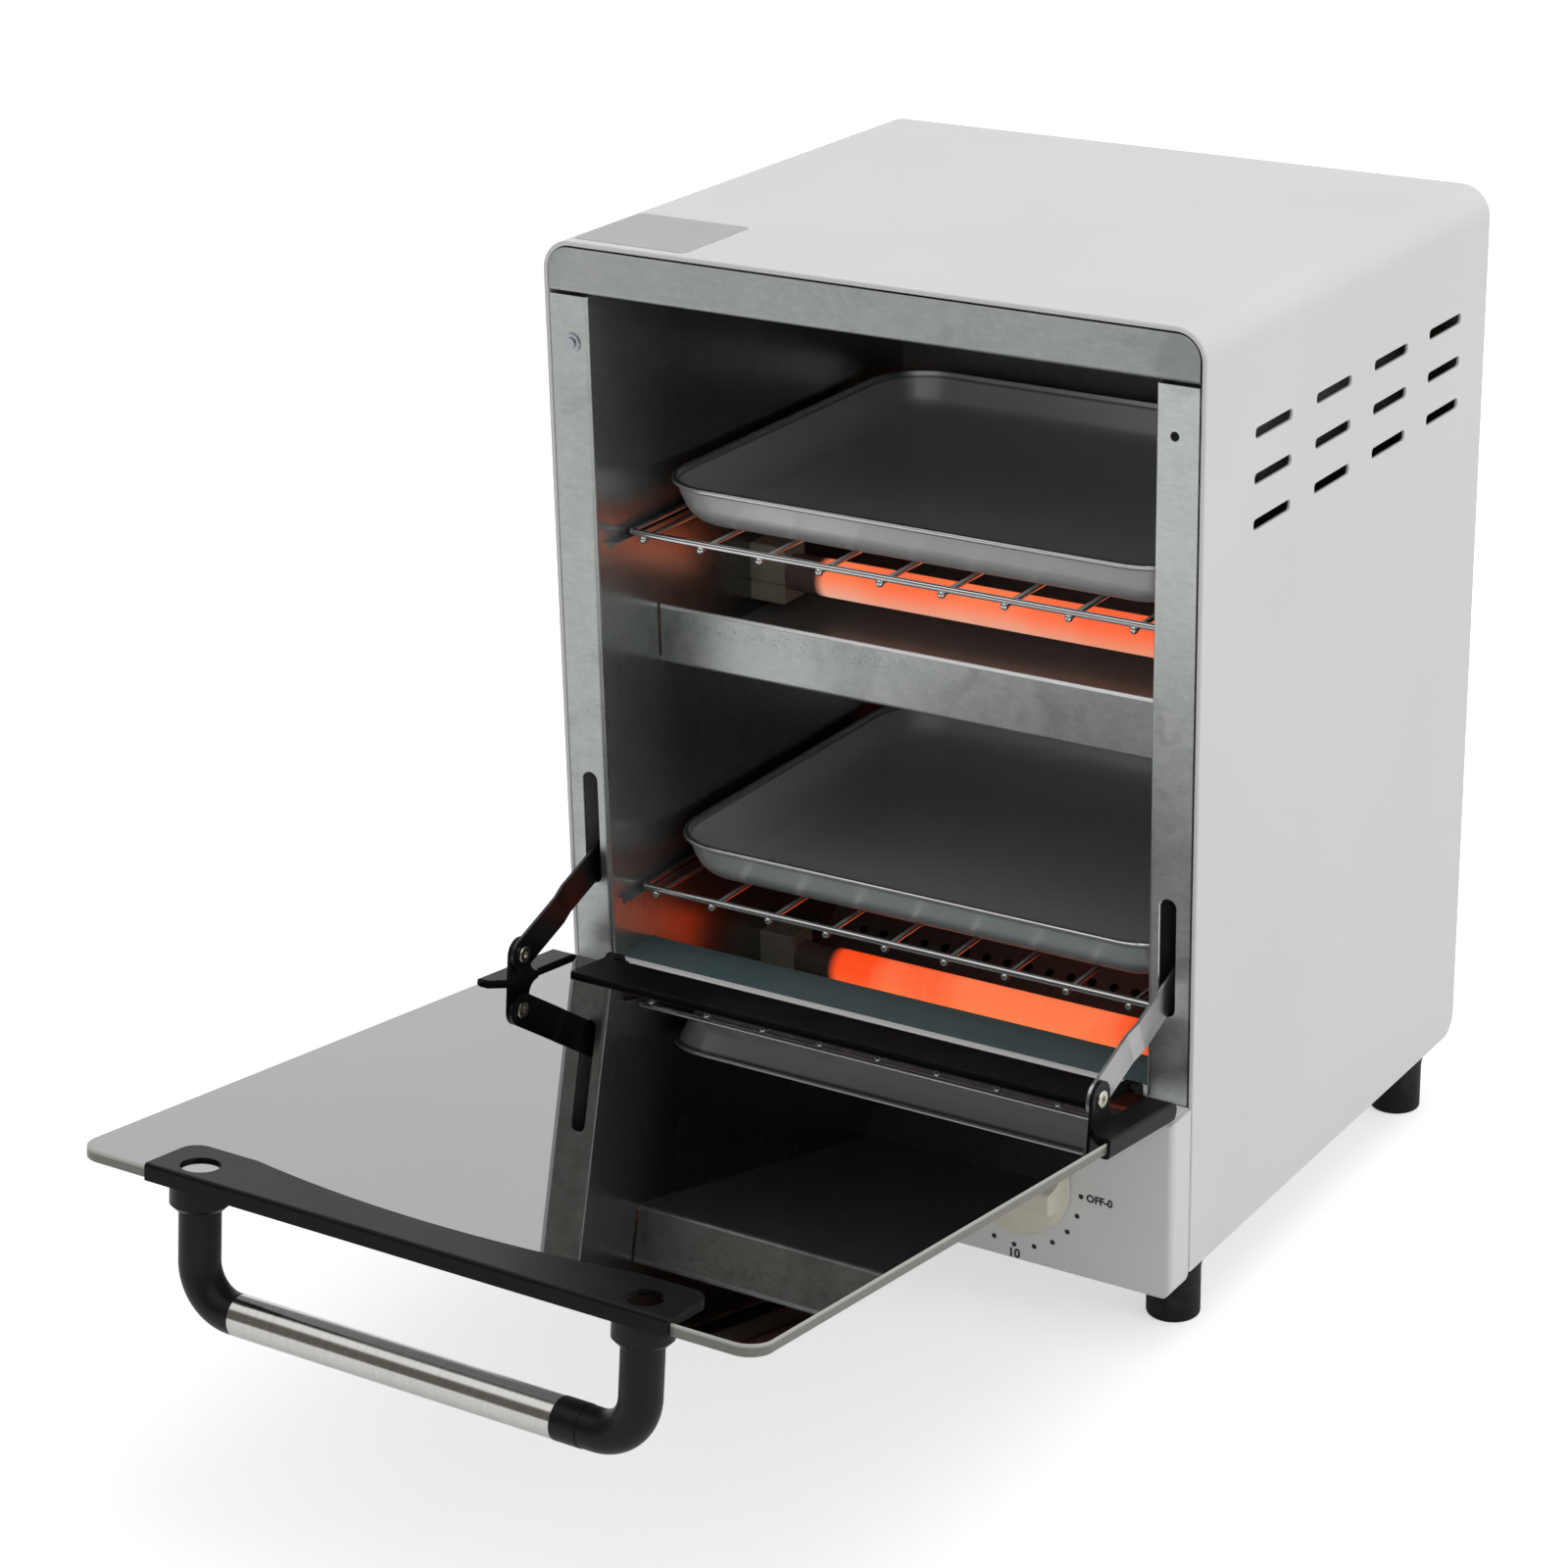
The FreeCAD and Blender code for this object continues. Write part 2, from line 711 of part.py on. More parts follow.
def make_knob(x):
    """A round knob with a raised grip bar and a spindle through the panel."""
    base = -panel_front - knob_panel_gap
    shoulder = base - knob_skirt
    crown = shoulder - knob_dome
    rim = base - knob_rim
    middle = Vector(knob_face_radius / 2, shoulder - knob_dome * knob_dome_share, 0)
    edges = [Part.LineSegment(Vector(0, base, 0), Vector(knob_radius, base, 0)).toShape(),
             Part.LineSegment(Vector(knob_radius, base, 0), Vector(knob_radius, rim, 0)).toShape(),
             Part.LineSegment(Vector(knob_radius, rim, 0), Vector(knob_face_radius, shoulder, 0)).toShape(),
             Part.Arc(Vector(knob_face_radius, shoulder, 0), middle, Vector(0, crown, 0)).toShape(),
             Part.LineSegment(Vector(0, crown, 0), Vector(0, base, 0)).toShape()]
    disc = Part.Face(Part.Wire(edges)).revolve(Vector(0, 0, 0), Vector(0, 1, 0), 360)
    top = base - knob_proud
    half_base = knob_grip_base / 2
    half_top = knob_grip_top / 2
    waist = half_top + (half_base - half_top) * knob_grip_waist_share
    waist_y = shoulder + (top - shoulder) * knob_grip_rise_share
    side = -knob_grip_radius
    flanks = [Part.LineSegment(Vector(side, rim, -half_base), Vector(side, rim, half_base)).toShape(),
              Part.Arc(Vector(side, rim, half_base), Vector(side, waist_y, waist),
                       Vector(side, top, half_top)).toShape(),
              Part.LineSegment(Vector(side, top, half_top), Vector(side, top, -half_top)).toShape(),
              Part.Arc(Vector(side, top, -half_top), Vector(side, waist_y, -waist),
                       Vector(side, rim, -half_base)).toShape()]
    grip = Part.Face(Part.Wire(flanks)).extrude(Vector(2 * knob_grip_radius, 0, 0))
    grip = grip.common(rod(Vector(0, top, 0), Vector(0, rim, 0), knob_grip_radius))
    crest = edges_where(grip, lambda box, edge: box.YMax < top + tiny)
    grip = grip.makeFillet(knob_grip_round, crest)
    spindle = rod(Vector(0, base, 0), Vector(0, base + spindle_reach, 0), spindle_radius)
    knob = united([disc, grip, spindle])
    knob.translate(Vector(x, 0, knob_height))
    return knob


def make_timer_body():
    """Clockwork timer with its mounting plate against the panel."""
    front = -panel_front + panel_sheet
    x0 = knob_spread - timer_size / 2
    x1 = knob_spread + timer_size / 2
    z0 = knob_height - timer_size / 2
    z1 = knob_height + timer_size / 2
    rear = front + timer_depth
    half = timer_plate_size / 2
    plate = block(knob_spread - half, knob_spread + half, front, front + timer_plate, knob_height - half,
                  knob_height + half)
    case = block(x0, x1, front, rear, z0, z1)
    cap_end = Vector(knob_spread, rear + timer_cap_depth, knob_height)
    cap = rod(Vector(knob_spread, rear, knob_height), cap_end, timer_cap_radius)
    return united([plate, case, cap]).cut(spindle_bore(knob_spread))


def spindle_bore(x):
    return rod(Vector(x, -panel_front, knob_height), Vector(x, -panel_front + spindle_reach, knob_height),
               spindle_radius + spindle_fit)


def make_thermostat_body():
    """Capillary thermostat: a neck against the panel and a round case behind it."""
    front = -panel_front + panel_sheet
    x = -knob_spread
    neck = rod(Vector(x, front, knob_height), Vector(x, front + thermostat_neck, knob_height),
               thermostat_neck_radius)
    case = rod(Vector(x, front + thermostat_neck, knob_height),
               Vector(x, front + thermostat_neck + thermostat_depth, knob_height), thermostat_radius)
    return united([neck, case]).cut(spindle_bore(x))


def make_indicator_lamp():
    face = -panel_front
    bezel = rod(Vector(0, face - lamp_bezel, knob_height), Vector(0, face, knob_height), lamp_bezel_radius)
    body = rod(Vector(0, face, knob_height), Vector(0, face + lamp_body_length, knob_height), lamp_radius)
    lens = rod(Vector(0, face - lamp_bezel - lamp_lens_rise, knob_height),
               Vector(0, face - lamp_bezel, knob_height), lamp_radius)
    rim = edges_where(lens, lambda box, edge: box.YMax < face - lamp_bezel - lamp_lens_rise + tiny)
    lens = lens.makeFillet(lamp_lens_round, rim)
    return united([bezel, body, lens])


def make_terminal_block():
    base = foot_height + base_sheet
    half = terminal_length / 2
    body = block(-half, half, terminal_front, terminal_front + terminal_width, base, base + terminal_height)
    cuts = []
    for way in range(terminal_ways):
        x = -half + terminal_length * (2 * way + 1) / (2 * terminal_ways)
        y = terminal_front + terminal_width / 2
        cuts.append(rod(Vector(x, y, base + terminal_height - terminal_hole_depth),
                        Vector(x, y, base + terminal_height + overrun), terminal_hole_radius))
    return body.cut(cuts)


# Inner frame and chamber

def make_liner():
    """The chamber's right side wall, folded outwards at the front into a slotted pillar."""
    inner = wall_x
    outer = wall_x + frame_sheet
    bottom = panel_top + pillar_gap
    top = rail_bottom - rail_seam
    fold = frame_bend * 2
    plan = [Vector(inner, fold, bottom), Vector(inner, 0, bottom), Vector(frame_edge, 0, bottom),
            Vector(frame_edge, frame_sheet, bottom), Vector(outer, frame_sheet, bottom),
            Vector(outer, fold, bottom)]
    pillar = slab(plan, [0, frame_bend, 0, 0, frame_bend - frame_sheet, 0], Vector(0, 0, top - bottom))
    wall = block(inner, outer, fold, chamber_depth, floor_top, top)
    crown = block(inner, outer, fold, chamber_depth, top, rail_bottom)
    well_wall = block(inner, outer, floor_front + floor_strip_depth, chamber_depth, well_floor - frame_sheet,
                      floor_top)
    liner = united([pillar, wall, crown, well_wall])
    half = slot_width / 2
    x0 = slot_x - half
    x1 = slot_x + half
    slot = slab([Vector(x0, -overrun, slot_bottom), Vector(x1, -overrun, slot_bottom),
                 Vector(x1, -overrun, slot_top), Vector(x0, -overrun, slot_top)], [half] * 4,
                Vector(0, 2 * overrun, 0))
    hole = rod(Vector(pillar_hole_x, -overrun, pillar_hole_z), Vector(pillar_hole_x, overrun, pillar_hole_z),
               pillar_hole_radius)
    liner = liner.cut([slot, hole])

    def on_slot_rim(box, edge):
        beside = box.XMin > x0 - tiny and box.XMax < x1 + tiny
        return beside and box.YMax < tiny and box.ZMin > slot_bottom - tiny and box.ZMax < slot_top + tiny

    return liner.makeChamfer(slot_chamfer, edges_where(liner, on_slot_rim))


def make_pillar_rivet():
    """A blind rivet in the left pillar, with its washer."""
    x = -pillar_hole_x

    def disc(y0, y1, radius):
        return rod(Vector(x, y0, pillar_hole_z), Vector(x, y1, pillar_hole_z), radius)

    washer = disc(-rivet_washer_thickness, 0, rivet_washer_radius)
    head = disc(-rivet_washer_thickness - rivet_head_height, -rivet_washer_thickness, rivet_head_radius)
    shank = disc(0, frame_sheet, pillar_hole_radius - screw_gap / 2)
    tail = disc(frame_sheet, frame_sheet * 2, rivet_head_radius)
    return united([washer, head, shank, tail])


def folded_sheet(outline, radii, half):
    """A folded sheet that runs straight across the chamber; the outline is given as (y, z)."""
    points = [Vector(-half, y, z) for y, z in outline]
    return slab(points, radii, Vector(2 * half, 0, 0))


def make_floor_plate():
    """Front strip with a flange down behind the panel, and the well under the lower tube."""
    y0 = floor_front
    y1 = floor_front + floor_strip_depth
    sheet = frame_sheet
    inner_bend = frame_bend - sheet
    flange_end = floor_top - floor_front_flange
    outline = [(y0, flange_end), (y0, floor_top), (y1, floor_top), (y1, well_floor),
               (chamber_depth, well_floor), (chamber_depth, well_floor - sheet),
               (y1 - sheet, well_floor - sheet), (y1 - sheet, floor_top - sheet),
               (y0 + sheet, floor_top - sheet), (y0 + sheet, flange_end)]
    radii = [0, frame_bend, frame_bend, inner_bend, 0, 0, frame_bend, inner_bend, inner_bend, 0]
    return folded_sheet(outline, radii, wall_x)


def make_divider_shelf():
    """The sheet under the upper tube, with a lip along its front."""
    low = divider_height - frame_sheet
    outline = [(divider_front, low), (divider_front, divider_height + divider_lip),
               (divider_front + frame_sheet, divider_height + divider_lip),
               (divider_front + frame_sheet, divider_height), (chamber_depth, divider_height),
               (chamber_depth, low)]
    radii = [frame_bend, divider_lip_round, divider_lip_round, frame_bend - frame_sheet, 0, 0]
    shelf = folded_sheet(outline, radii, wall_x)
    gap = block(wall_x - divider_lip_gap, wall_x, divider_front, divider_front + frame_sheet,
                divider_height + frame_bend, divider_height + divider_lip)
    return shelf.cut([gap, mirrored(gap)])


def make_chamber_roof():
    """The roof sheet, folded up at the front into the header rail."""
    sheet = frame_sheet
    outline = [(0, rail_top), (0, rail_bottom), (chamber_depth, rail_bottom),
               (chamber_depth, rail_bottom + sheet), (sheet, rail_bottom + sheet), (sheet, rail_top)]
    roof = folded_sheet(outline, [0, frame_bend, 0, 0, frame_bend - sheet, 0], frame_edge)
    y = -overrun
    front_view = slab([Vector(-frame_edge, y, rail_bottom), Vector(-frame_edge, y, rail_top),
                       Vector(frame_edge, y, rail_top), Vector(frame_edge, y, rail_bottom)],
                      [0, rail_corner, rail_corner, 0], Vector(0, cover_depth, 0))
    roof = roof.common(front_view)
    outer = wall_x + sheet
    trim = block(outer, frame_edge + overrun, 2 * frame_bend, cover_depth, rail_bottom - overrun, cover_top)
    return roof.cut([trim, mirrored(trim)])


def make_chamber_back():
    outer = wall_x + frame_sheet
    return block(-outer, outer, chamber_depth, chamber_depth + frame_sheet, well_floor - frame_sheet,
                 rail_bottom + frame_sheet)


def make_lower_reflector():
    """A slanting sheet behind the lower tube, pierced by rows of round holes."""
    start = Vector(0, reflector_front, well_floor)
    end = Vector(0, chamber_depth, well_floor + reflector_rise)
    along = (end - start).normalize()
    normal = Vector(0, -along.z, along.y)
    side = Vector(-wall_x, 0, 0)
    lift = normal * frame_sheet
    corners = [start + side, end + side, end + side + lift, start + side + lift]
    plate = slab(corners, [0, 0, 0, 0], Vector(2 * wall_x, 0, 0))
    plate = plate.common(block(-cover_width, cover_width, 0, chamber_depth, well_floor, cover_top))
    columns = int((wall_x - perforation_margin) / perforation_pitch)
    cuts = []
    for row in range(perforation_rows):
        for column in range(-columns, columns + 1):
            place = start + along * (perforation_first + row * perforation_row_pitch)
            place = place + Vector(column * perforation_pitch, 0, 0)
            cuts.append(rod(place - normal * overrun, place + normal * overrun, perforation_radius))
    return plate.cut(cuts)


def make_heater_tube(z):
    glowing = rod(Vector(-heater_half, heater_y, z), Vector(heater_half, heater_y, z), heater_radius)
    reach = heater_half + heater_cap_length
    caps = rod(Vector(-reach, heater_y, z), Vector(reach, heater_y, z), heater_cap_radius)
    return united([glowing, caps])


def make_heater_holder(z):
    """A ceramic block on the right wall, grooved all round, with a socket for the tube's cap."""
    y0 = heater_y - holder_width / 2
    y1 = heater_y + holder_width / 2
    z0 = z - holder_height / 2
    z1 = z + holder_height / 2
    body = block(heater_half, wall_x, y0, y1, z0, z1)
    lying = edges_where(body, lambda box, edge: box.XLength > tiny or box.XMax < heater_half + tiny)
    body = body.makeFillet(holder_edge, lying)
    groove_z = z - holder_groove_drop
    groove = block(heater_half - overrun, wall_x + overrun, y0 - overrun, y1 + overrun,
                   groove_z - holder_groove / 2, groove_z + holder_groove / 2)
    groove = groove.cut(block(heater_half + holder_groove, wall_x + 2 * overrun, y0 + holder_groove,
                              y1 - holder_groove, z0, z1))
    socket = rod(Vector(heater_half, heater_y, z),
                 Vector(heater_half + heater_cap_length + heater_fit, heater_y, z),
                 heater_cap_radius + heater_fit)
    return body.cut([groove, socket])


def make_runner(rack_height):
    """An angle strip on the right wall that carries a rack's side rod."""
    top = rack_height - rack_rod_radius - slide_gap
    shelf = block(wall_x - runner_width, wall_x, runner_front, rack_rear, top - frame_sheet, top)
    leg = block(wall_x - frame_sheet, wall_x, runner_front, rack_rear, top - runner_drop, top)
    return united([shelf, leg])


def make_roof_board():
    side = wall_x - insulation_gap
    low = rail_bottom + frame_sheet
    return block(-side, side, insulation_gap, chamber_depth, low, low + roof_board)


def make_back_board():
    side = wall_x - insulation_gap
    front = chamber_depth + frame_sheet
    return block(-side, side, front, front + back_board, well_floor + back_board_rise, rail_bottom)


# Racks and trays

def make_rack(height):
    """A chrome wire rack: one bent rod with straight wires, each end a blob of weld under it."""
    parts = [ring_bar(rack_side_x, rack_front, rack_rear, height, rack_corner, rack_rod_radius)]
    z = height - rack_rod_radius - rack_wire_radius + rack_wire_bite
    wire_front = rack_front - rack_wire_overhang
    wire_rear = rack_rear + rack_wire_overhang
    for i in range(rack_wire_count):
        x = rack_wire_side * (2 * i / (rack_wire_count - 1) - 1) - rack_wire_shift
        parts.append(rod(Vector(x, wire_front, z), Vector(x, wire_rear, z), rack_wire_radius))
        for y in (rack_front, rack_rear):
            parts.append(Part.makeSphere(rack_weld_radius, Vector(x, y, z)))
    return united(parts)


def tray_outline(inset, z, corner):
    side = wall_x - tray_side_gap - inset
    y0 = rack_front + tray_front_gap + inset
    y1 = rack_front + tray_front_gap + tray_length - inset
    points = [Vector(-side, y0, z), Vector(side, y0, z), Vector(side, y1, z), Vector(-side, y1, z)]
    return path_wire(points, [corner] * 4, True)


def tray_form(low, high, inset, bend):
    """A solid with the tray's flared outside, rounded where the floor meets the walls."""
    form = Part.makeLoft([tray_outline(tray_flare + inset, low, tray_floor_corner),
                          tray_outline(inset, high, tray_rim_corner)], True, True)
    floor_edges = edges_where(form, lambda box, edge: box.ZMax < low + tiny)
    return form.makeFillet(bend, floor_edges)


def make_tray(rack_height):
    """A flared steel tray with a rolled rim, lying on a rack's wires."""
    low = rack_height - rack_rod_radius + rack_wire_bite + slide_gap
    rim = low + tray_height
    outside = tray_form(low, rim, tray_bead_radius, tray_floor_bend)
    inside = tray_form(low + tray_sheet, rim, tray_bead_radius + tray_sheet, tray_floor_bend - tray_sheet)
    side = wall_x - tray_side_gap - tray_bead_radius
    y0 = rack_front + tray_front_gap + tray_bead_radius
    y1 = rack_front + tray_front_gap + tray_length - tray_bead_radius
    bead = ring_bar(side, y0, y1, rim - tray_bead_radius, tray_rim_corner, tray_bead_radius)
    return united([outside.cut(inside), bead])


# Door. Its pieces are modelled flat and level, then hung on the cabinet.

def door_point(u, v, h):
    return Vector(u, -v, -h)


def door_block(u0, u1, v0, v1, h0, h1):
    return block(u0, u1, -v1, -v0, -h1, -h0)


def door_rod(start, end, radius):
    return rod(door_point(*start), door_point(*end), radius)


def door_slab(points, radii, along):
    return slab([door_point(*point) for point in points], radii, door_point(*along))


def hung(shape):
    """Tilts a flat door piece and lifts it to its place on the cabinet."""
    placed = shape.copy()
    placed.rotate(Vector(0, 0, 0), Vector(1, 0, 0), -door_tilt)
    placed.translate(Vector(0, 0, door_plane_height))
    return placed


def make_door_glass():
    points = [(-glass_half, glass_rear, 0), (glass_half, glass_rear, 0), (glass_half, glass_front, 0),
              (-glass_half, glass_front, 0)]
    glass = door_slab(points, [glass_rear_corner, glass_rear_corner, glass_corner, glass_corner],
                      (0, 0, glass_thickness))
    rims = edges_where(glass, lambda box, edge: box.ZLength < tiny)
    glass = glass.makeChamfer(glass_chamfer, rims)
    for u in (-handle_spread, handle_spread):
        glass = glass.cut(door_rod((u, handle_v, -overrun), (u, handle_v, glass_thickness + overrun),
                                   glass_hole_radius))
    return glass


def make_hinge_channel():
    """The folded strip on the glass's rear edge, with a knuckle at each end."""
    half = channel_half
    under = glass_thickness + channel_sheet
    lip_end = channel_rear + channel_lip
    profile = [(-half, channel_rear, -channel_sheet), (-half, channel_front, -channel_sheet),
               (-half, channel_front, 0), (-half, glass_rear, 0), (-half, glass_rear, glass_thickness),
               (-half, lip_end, glass_thickness), (-half, lip_end, under), (-half, channel_rear, under)]
    bend = channel_web - channel_round / 2
    channel = door_slab(profile, [bend, channel_round, 0, 0, 0, 0, channel_round, bend], (2 * half, 0, 0))
    pad = door_block(-channel_notch_half, channel_notch_half, channel_rear - channel_notch,
                     channel_rear + channel_notch, -channel_sheet / 2, glass_thickness)
    parts = [channel, pad]
    bores = []
    for side in (-1, 1):
        ends = sorted((side * knuckle_inner, side * half))
        parts.append(door_rod((ends[0], hinge_v, hinge_h), (ends[1], hinge_v, hinge_h), knuckle_radius))
        parts.append(door_block(ends[0], ends[1], hinge_v, glass_rear, hinge_h - knuckle_radius,
                                hinge_h + knuckle_radius))
        bores.append(door_rod((ends[0] - overrun, hinge_v, hinge_h), (ends[1] + overrun, hinge_v, hinge_h),
                              hinge_pin_radius + hinge_pin_fit))
    return united(parts).cut(bores)


def make_hinge_tab():
    """The fixed tab on the right of the ledge, with the pin that carries the door."""
    axis = hung(Part.Vertex(door_point(0, hinge_v, hinge_h))).Point
    top = rod(Vector(tab_inner, axis.y, axis.z), Vector(tab_outer, axis.y, axis.z), knuckle_radius)
    stem = block(tab_inner, tab_outer, axis.y - knuckle_radius, axis.y + knuckle_radius, panel_top, axis.z)
    pin = rod(Vector(tab_outer - hinge_pin_reach, axis.y, axis.z), Vector(tab_inner, axis.y, axis.z),
              hinge_pin_radius)
    return united([top, stem, pin])


def make_clip():
    """A folded clip round the glass's right edge, with the lug that holds the stay arm."""
    under = glass_thickness + channel_sheet
    rear = clip_rear
    section = [(clip_inner, rear, -clip_sheet), (clip_outer, rear, -clip_sheet), (clip_outer, rear, under),
               (clip_outer - clip_under, rear, under), (clip_outer - clip_under, rear, glass_thickness),
               (glass_half, rear, glass_thickness), (glass_half, rear, 0), (clip_inner, rear, 0)]
    clip = door_slab(section, [0, clip_wall, clip_wall, 0, 0, 0, 0, 0], (0, clip_front - rear, 0))
    side_view = [(clip_inner - overrun, rear, -clip_sheet), (clip_inner - overrun, clip_front, -clip_sheet),
                 (clip_inner - overrun, clip_front, under), (clip_inner - overrun, rear, under)]
    nose = (under + clip_sheet) / 2 - tiny
    clip = clip.common(door_slab(side_view, [nose, 0, 0, nose], (clip_width + 2 * overrun, 0, 0)))
    cut = [(clip_inner, clip_front - clip_cut, -clip_sheet), (clip_inner, clip_front, -clip_sheet),
           (clip_inner + clip_cut, clip_front, -clip_sheet)]
    clip = clip.cut(door_slab(cut, [0, 0, 0], (0, 0, clip_sheet)))
    front = lug_v + lug_radius
    neck = lug_v - lug_radius
    fillet = neck - lug_rear
    crown = lug_rise + lug_radius
    bow = fillet * math.cos(math.pi / 4)
    shoulder = clip_sheet + fillet

    def spot(v, h):
        return door_point(lug_inner, v, h)

    edges = [Part.LineSegment(spot(lug_rear, 0), spot(front, 0)).toShape(),
             Part.LineSegment(spot(front, 0), spot(front, -lug_rise)).toShape(),
             Part.Arc(spot(front, -lug_rise), spot(lug_v, -crown), spot(neck, -lug_rise)).toShape(),
             Part.LineSegment(spot(neck, -lug_rise), spot(neck, -shoulder)).toShape(),
             Part.Arc(spot(neck, -shoulder), spot(lug_rear + bow, bow - shoulder),
                      spot(lug_rear, -clip_sheet)).toShape(),
             Part.LineSegment(spot(lug_rear, -clip_sheet), spot(lug_rear, 0)).toShape()]
    lug = Part.Face(Part.Wire(edges)).extrude(Vector(lug_thickness, 0, 0))
    eye = door_rod((lug_inner - overrun, lug_v, -lug_rise), (lug_outer + overrun, lug_v, -lug_rise),
                   stay_rivet_radius + stay_rivet_fit)
    return united([clip, lug]).cut(eye)


def make_stay_rivet():
    """The rivet that holds the right arm to its lug, with a head at each end."""
    def disc(u0, u1, radius):
        return door_rod((u0, lug_v, -lug_rise), (u1, lug_v, -lug_rise), radius)

    inner_face = arm_inner - arm_gap
    inner_head = disc(inner_face - stay_rivet_head, inner_face, stay_rivet_head_radius)
    outer_head = disc(lug_outer, lug_outer + stay_rivet_head, stay_rivet_head_radius)
    shank = disc(inner_face, lug_outer, stay_rivet_radius)
    ends = edges_where(inner_head, lambda box, edge: box.XMax < inner_face - stay_rivet_head + tiny)
    inner_head = inner_head.makeFillet(stay_rivet_round, ends)
    ends = edges_where(outer_head, lambda box, edge: box.XMin > lug_outer + stay_rivet_head - tiny)
    outer_head = outer_head.makeFillet(stay_rivet_round, ends)
    hollows = [disc(inner_face - stay_rivet_head, inner_face - stay_rivet_head + stay_rivet_hollow,
                    stay_rivet_hollow_radius),
               disc(lug_outer + stay_rivet_head - stay_rivet_hollow, lug_outer + stay_rivet_head,
                    stay_rivet_hollow_radius)]
    return united([inner_head, shank, outer_head]).cut(hollows)


def arm_pivot():
    return hung(Part.Vertex(door_point(0, lug_v, -lug_rise))).Point


def make_stay_arm():
    """The right stay arm: a flat bar with a joggle, and a hook that catches behind the pillar.

    Its tail slides in the pillar's slot. That end of the linkage is left open.
    """
    pivot = arm_pivot()
    angle = math.radians(arm_angle)
    half = arm_width / 2
    tail = arm_length - half
    low = -half - hook_depth
    x0 = arm_inner - overrun
    depth = Vector(arm_thickness + 2 * overrun, 0, 0)
    bar_outline = slab([Vector(x0, -half, -half), Vector(x0, arm_length, -half),
                        Vector(x0, arm_length, half), Vector(x0, -half, half)], [half] * 4, depth)
    hook_start = (frame_sheet + hook_gap - pivot.y - half * math.sin(angle)) / math.cos(angle)
    hook_end = hook_start + hook_width
    hook = slab([Vector(x0, hook_start, 0), Vector(x0, hook_start, low), Vector(x0, hook_end, low),
                 Vector(x0, hook_end + hook_depth, 0)], [0, 0, 0, 0], depth)
    outline = united([bar_outline, hook])
    shift = arm_joggle
    s0 = arm_joggle_start
    s1 = arm_joggle_start + arm_joggle_length
    bent = [Vector(arm_inner, -half, low), Vector(arm_inner, s0, low), Vector(arm_inner + shift, s1, low),
            Vector(arm_inner + shift, arm_length, low), Vector(arm_outer + shift, arm_length, low),
            Vector(arm_outer + shift, s1, low), Vector(arm_outer, s0, low), Vector(arm_outer, -half, low)]
    arm = slab(bent, [0] * 8, Vector(0, 0, arm_width + hook_depth)).common(outline)
    holes = [rod(Vector(x0, 0, 0), Vector(x0, 0, 0) + depth, stay_rivet_radius + stay_rivet_fit),
             rod(Vector(x0, tail, 0), Vector(x0, tail, 0) + depth, arm_tail_hole)]
    arm = arm.cut(holes)
    arm.rotate(Vector(0, 0, 0), Vector(1, 0, 0), arm_angle)
    arm.translate(Vector(0, pivot.y, pivot.z))
    return arm


def make_handle_plate():
    """The folded plate on the glass's front edge, with a hole over each handle screw."""
    half = plate_half_width
    front = glass_front + plate_sheet
    rear = front - plate_depth
    points = [(-half, rear, -plate_sheet), (half, rear, -plate_sheet), (half, front, -plate_sheet),
              (-half, front, -plate_sheet)]
    plate = door_slab(points, [plate_corner, plate_corner, 0, 0], (0, 0, plate_sheet))
    sweep = (plate_cut_half ** 2 + plate_middle_cut ** 2) / (2 * plate_middle_cut)
    centre = rear + plate_middle_cut - sweep
    plate = plate.cut(door_rod((0, centre, -overrun), (0, centre, overrun), sweep))
    lip = door_block(-half, half, glass_front, front, -plate_sheet, plate_lip - plate_sheet)
    plate = united([plate, lip])
    bend = edges_where(plate, lambda box, edge: box.ZMin > plate_sheet - tiny and box.YMax < -front + tiny)
    plate = plate.makeFillet(plate_bend, bend)
    for u in (-handle_spread, handle_spread):
        plate = plate.cut(door_rod((u, handle_v, -overrun), (u, handle_v, overrun), plate_hole_radius))
    return plate


def make_handle_collar():
    start = glass_thickness
    end = glass_thickness + collar_height
    collar = door_rod((handle_spread, handle_v, start), (handle_spread, handle_v, end), collar_radius)
    rim = edges_where(collar, lambda box, edge: box.ZMax < -end + tiny)
    collar = collar.makeChamfer(collar_chamfer, rim)
    return collar.cut(door_rod((handle_spread, handle_v, start), (handle_spread, handle_v, end),
                               handle_screw_radius + collar_hole_gap))


def make_handle_elbow(side, straight):
    """A bent post from the collar to the tube's end."""
    foot = glass_thickness + collar_height
    end = handle_spread - elbow_bend - straight
    path = [door_point(side * handle_spread, handle_v, foot),
            door_point(side * handle_spread, handle_v, handle_axis_height),
            door_point(side * end, handle_v, handle_axis_height)]
    elbow = bar(path, elbow_bend, post_radius)
    if straight > sleeve_length:
        sleeve = door_rod((side * end, handle_v, handle_axis_height),
                          (side * (end + sleeve_length), handle_v, handle_axis_height),
                          post_radius + sleeve_rise)
        elbow = united([elbow, sleeve])
    socket = door_rod((side * end, handle_v, handle_axis_height),
                      (side * (end + spigot_length + spigot_fit), handle_v, handle_axis_height),
                      spigot_radius + spigot_fit)
    thread = door_rod((side * handle_spread, handle_v, foot),
                      (side * handle_spread, handle_v, foot + handle_screw_grip),
                      handle_screw_radius + handle_screw_fit)
    return elbow.cut([socket, thread])


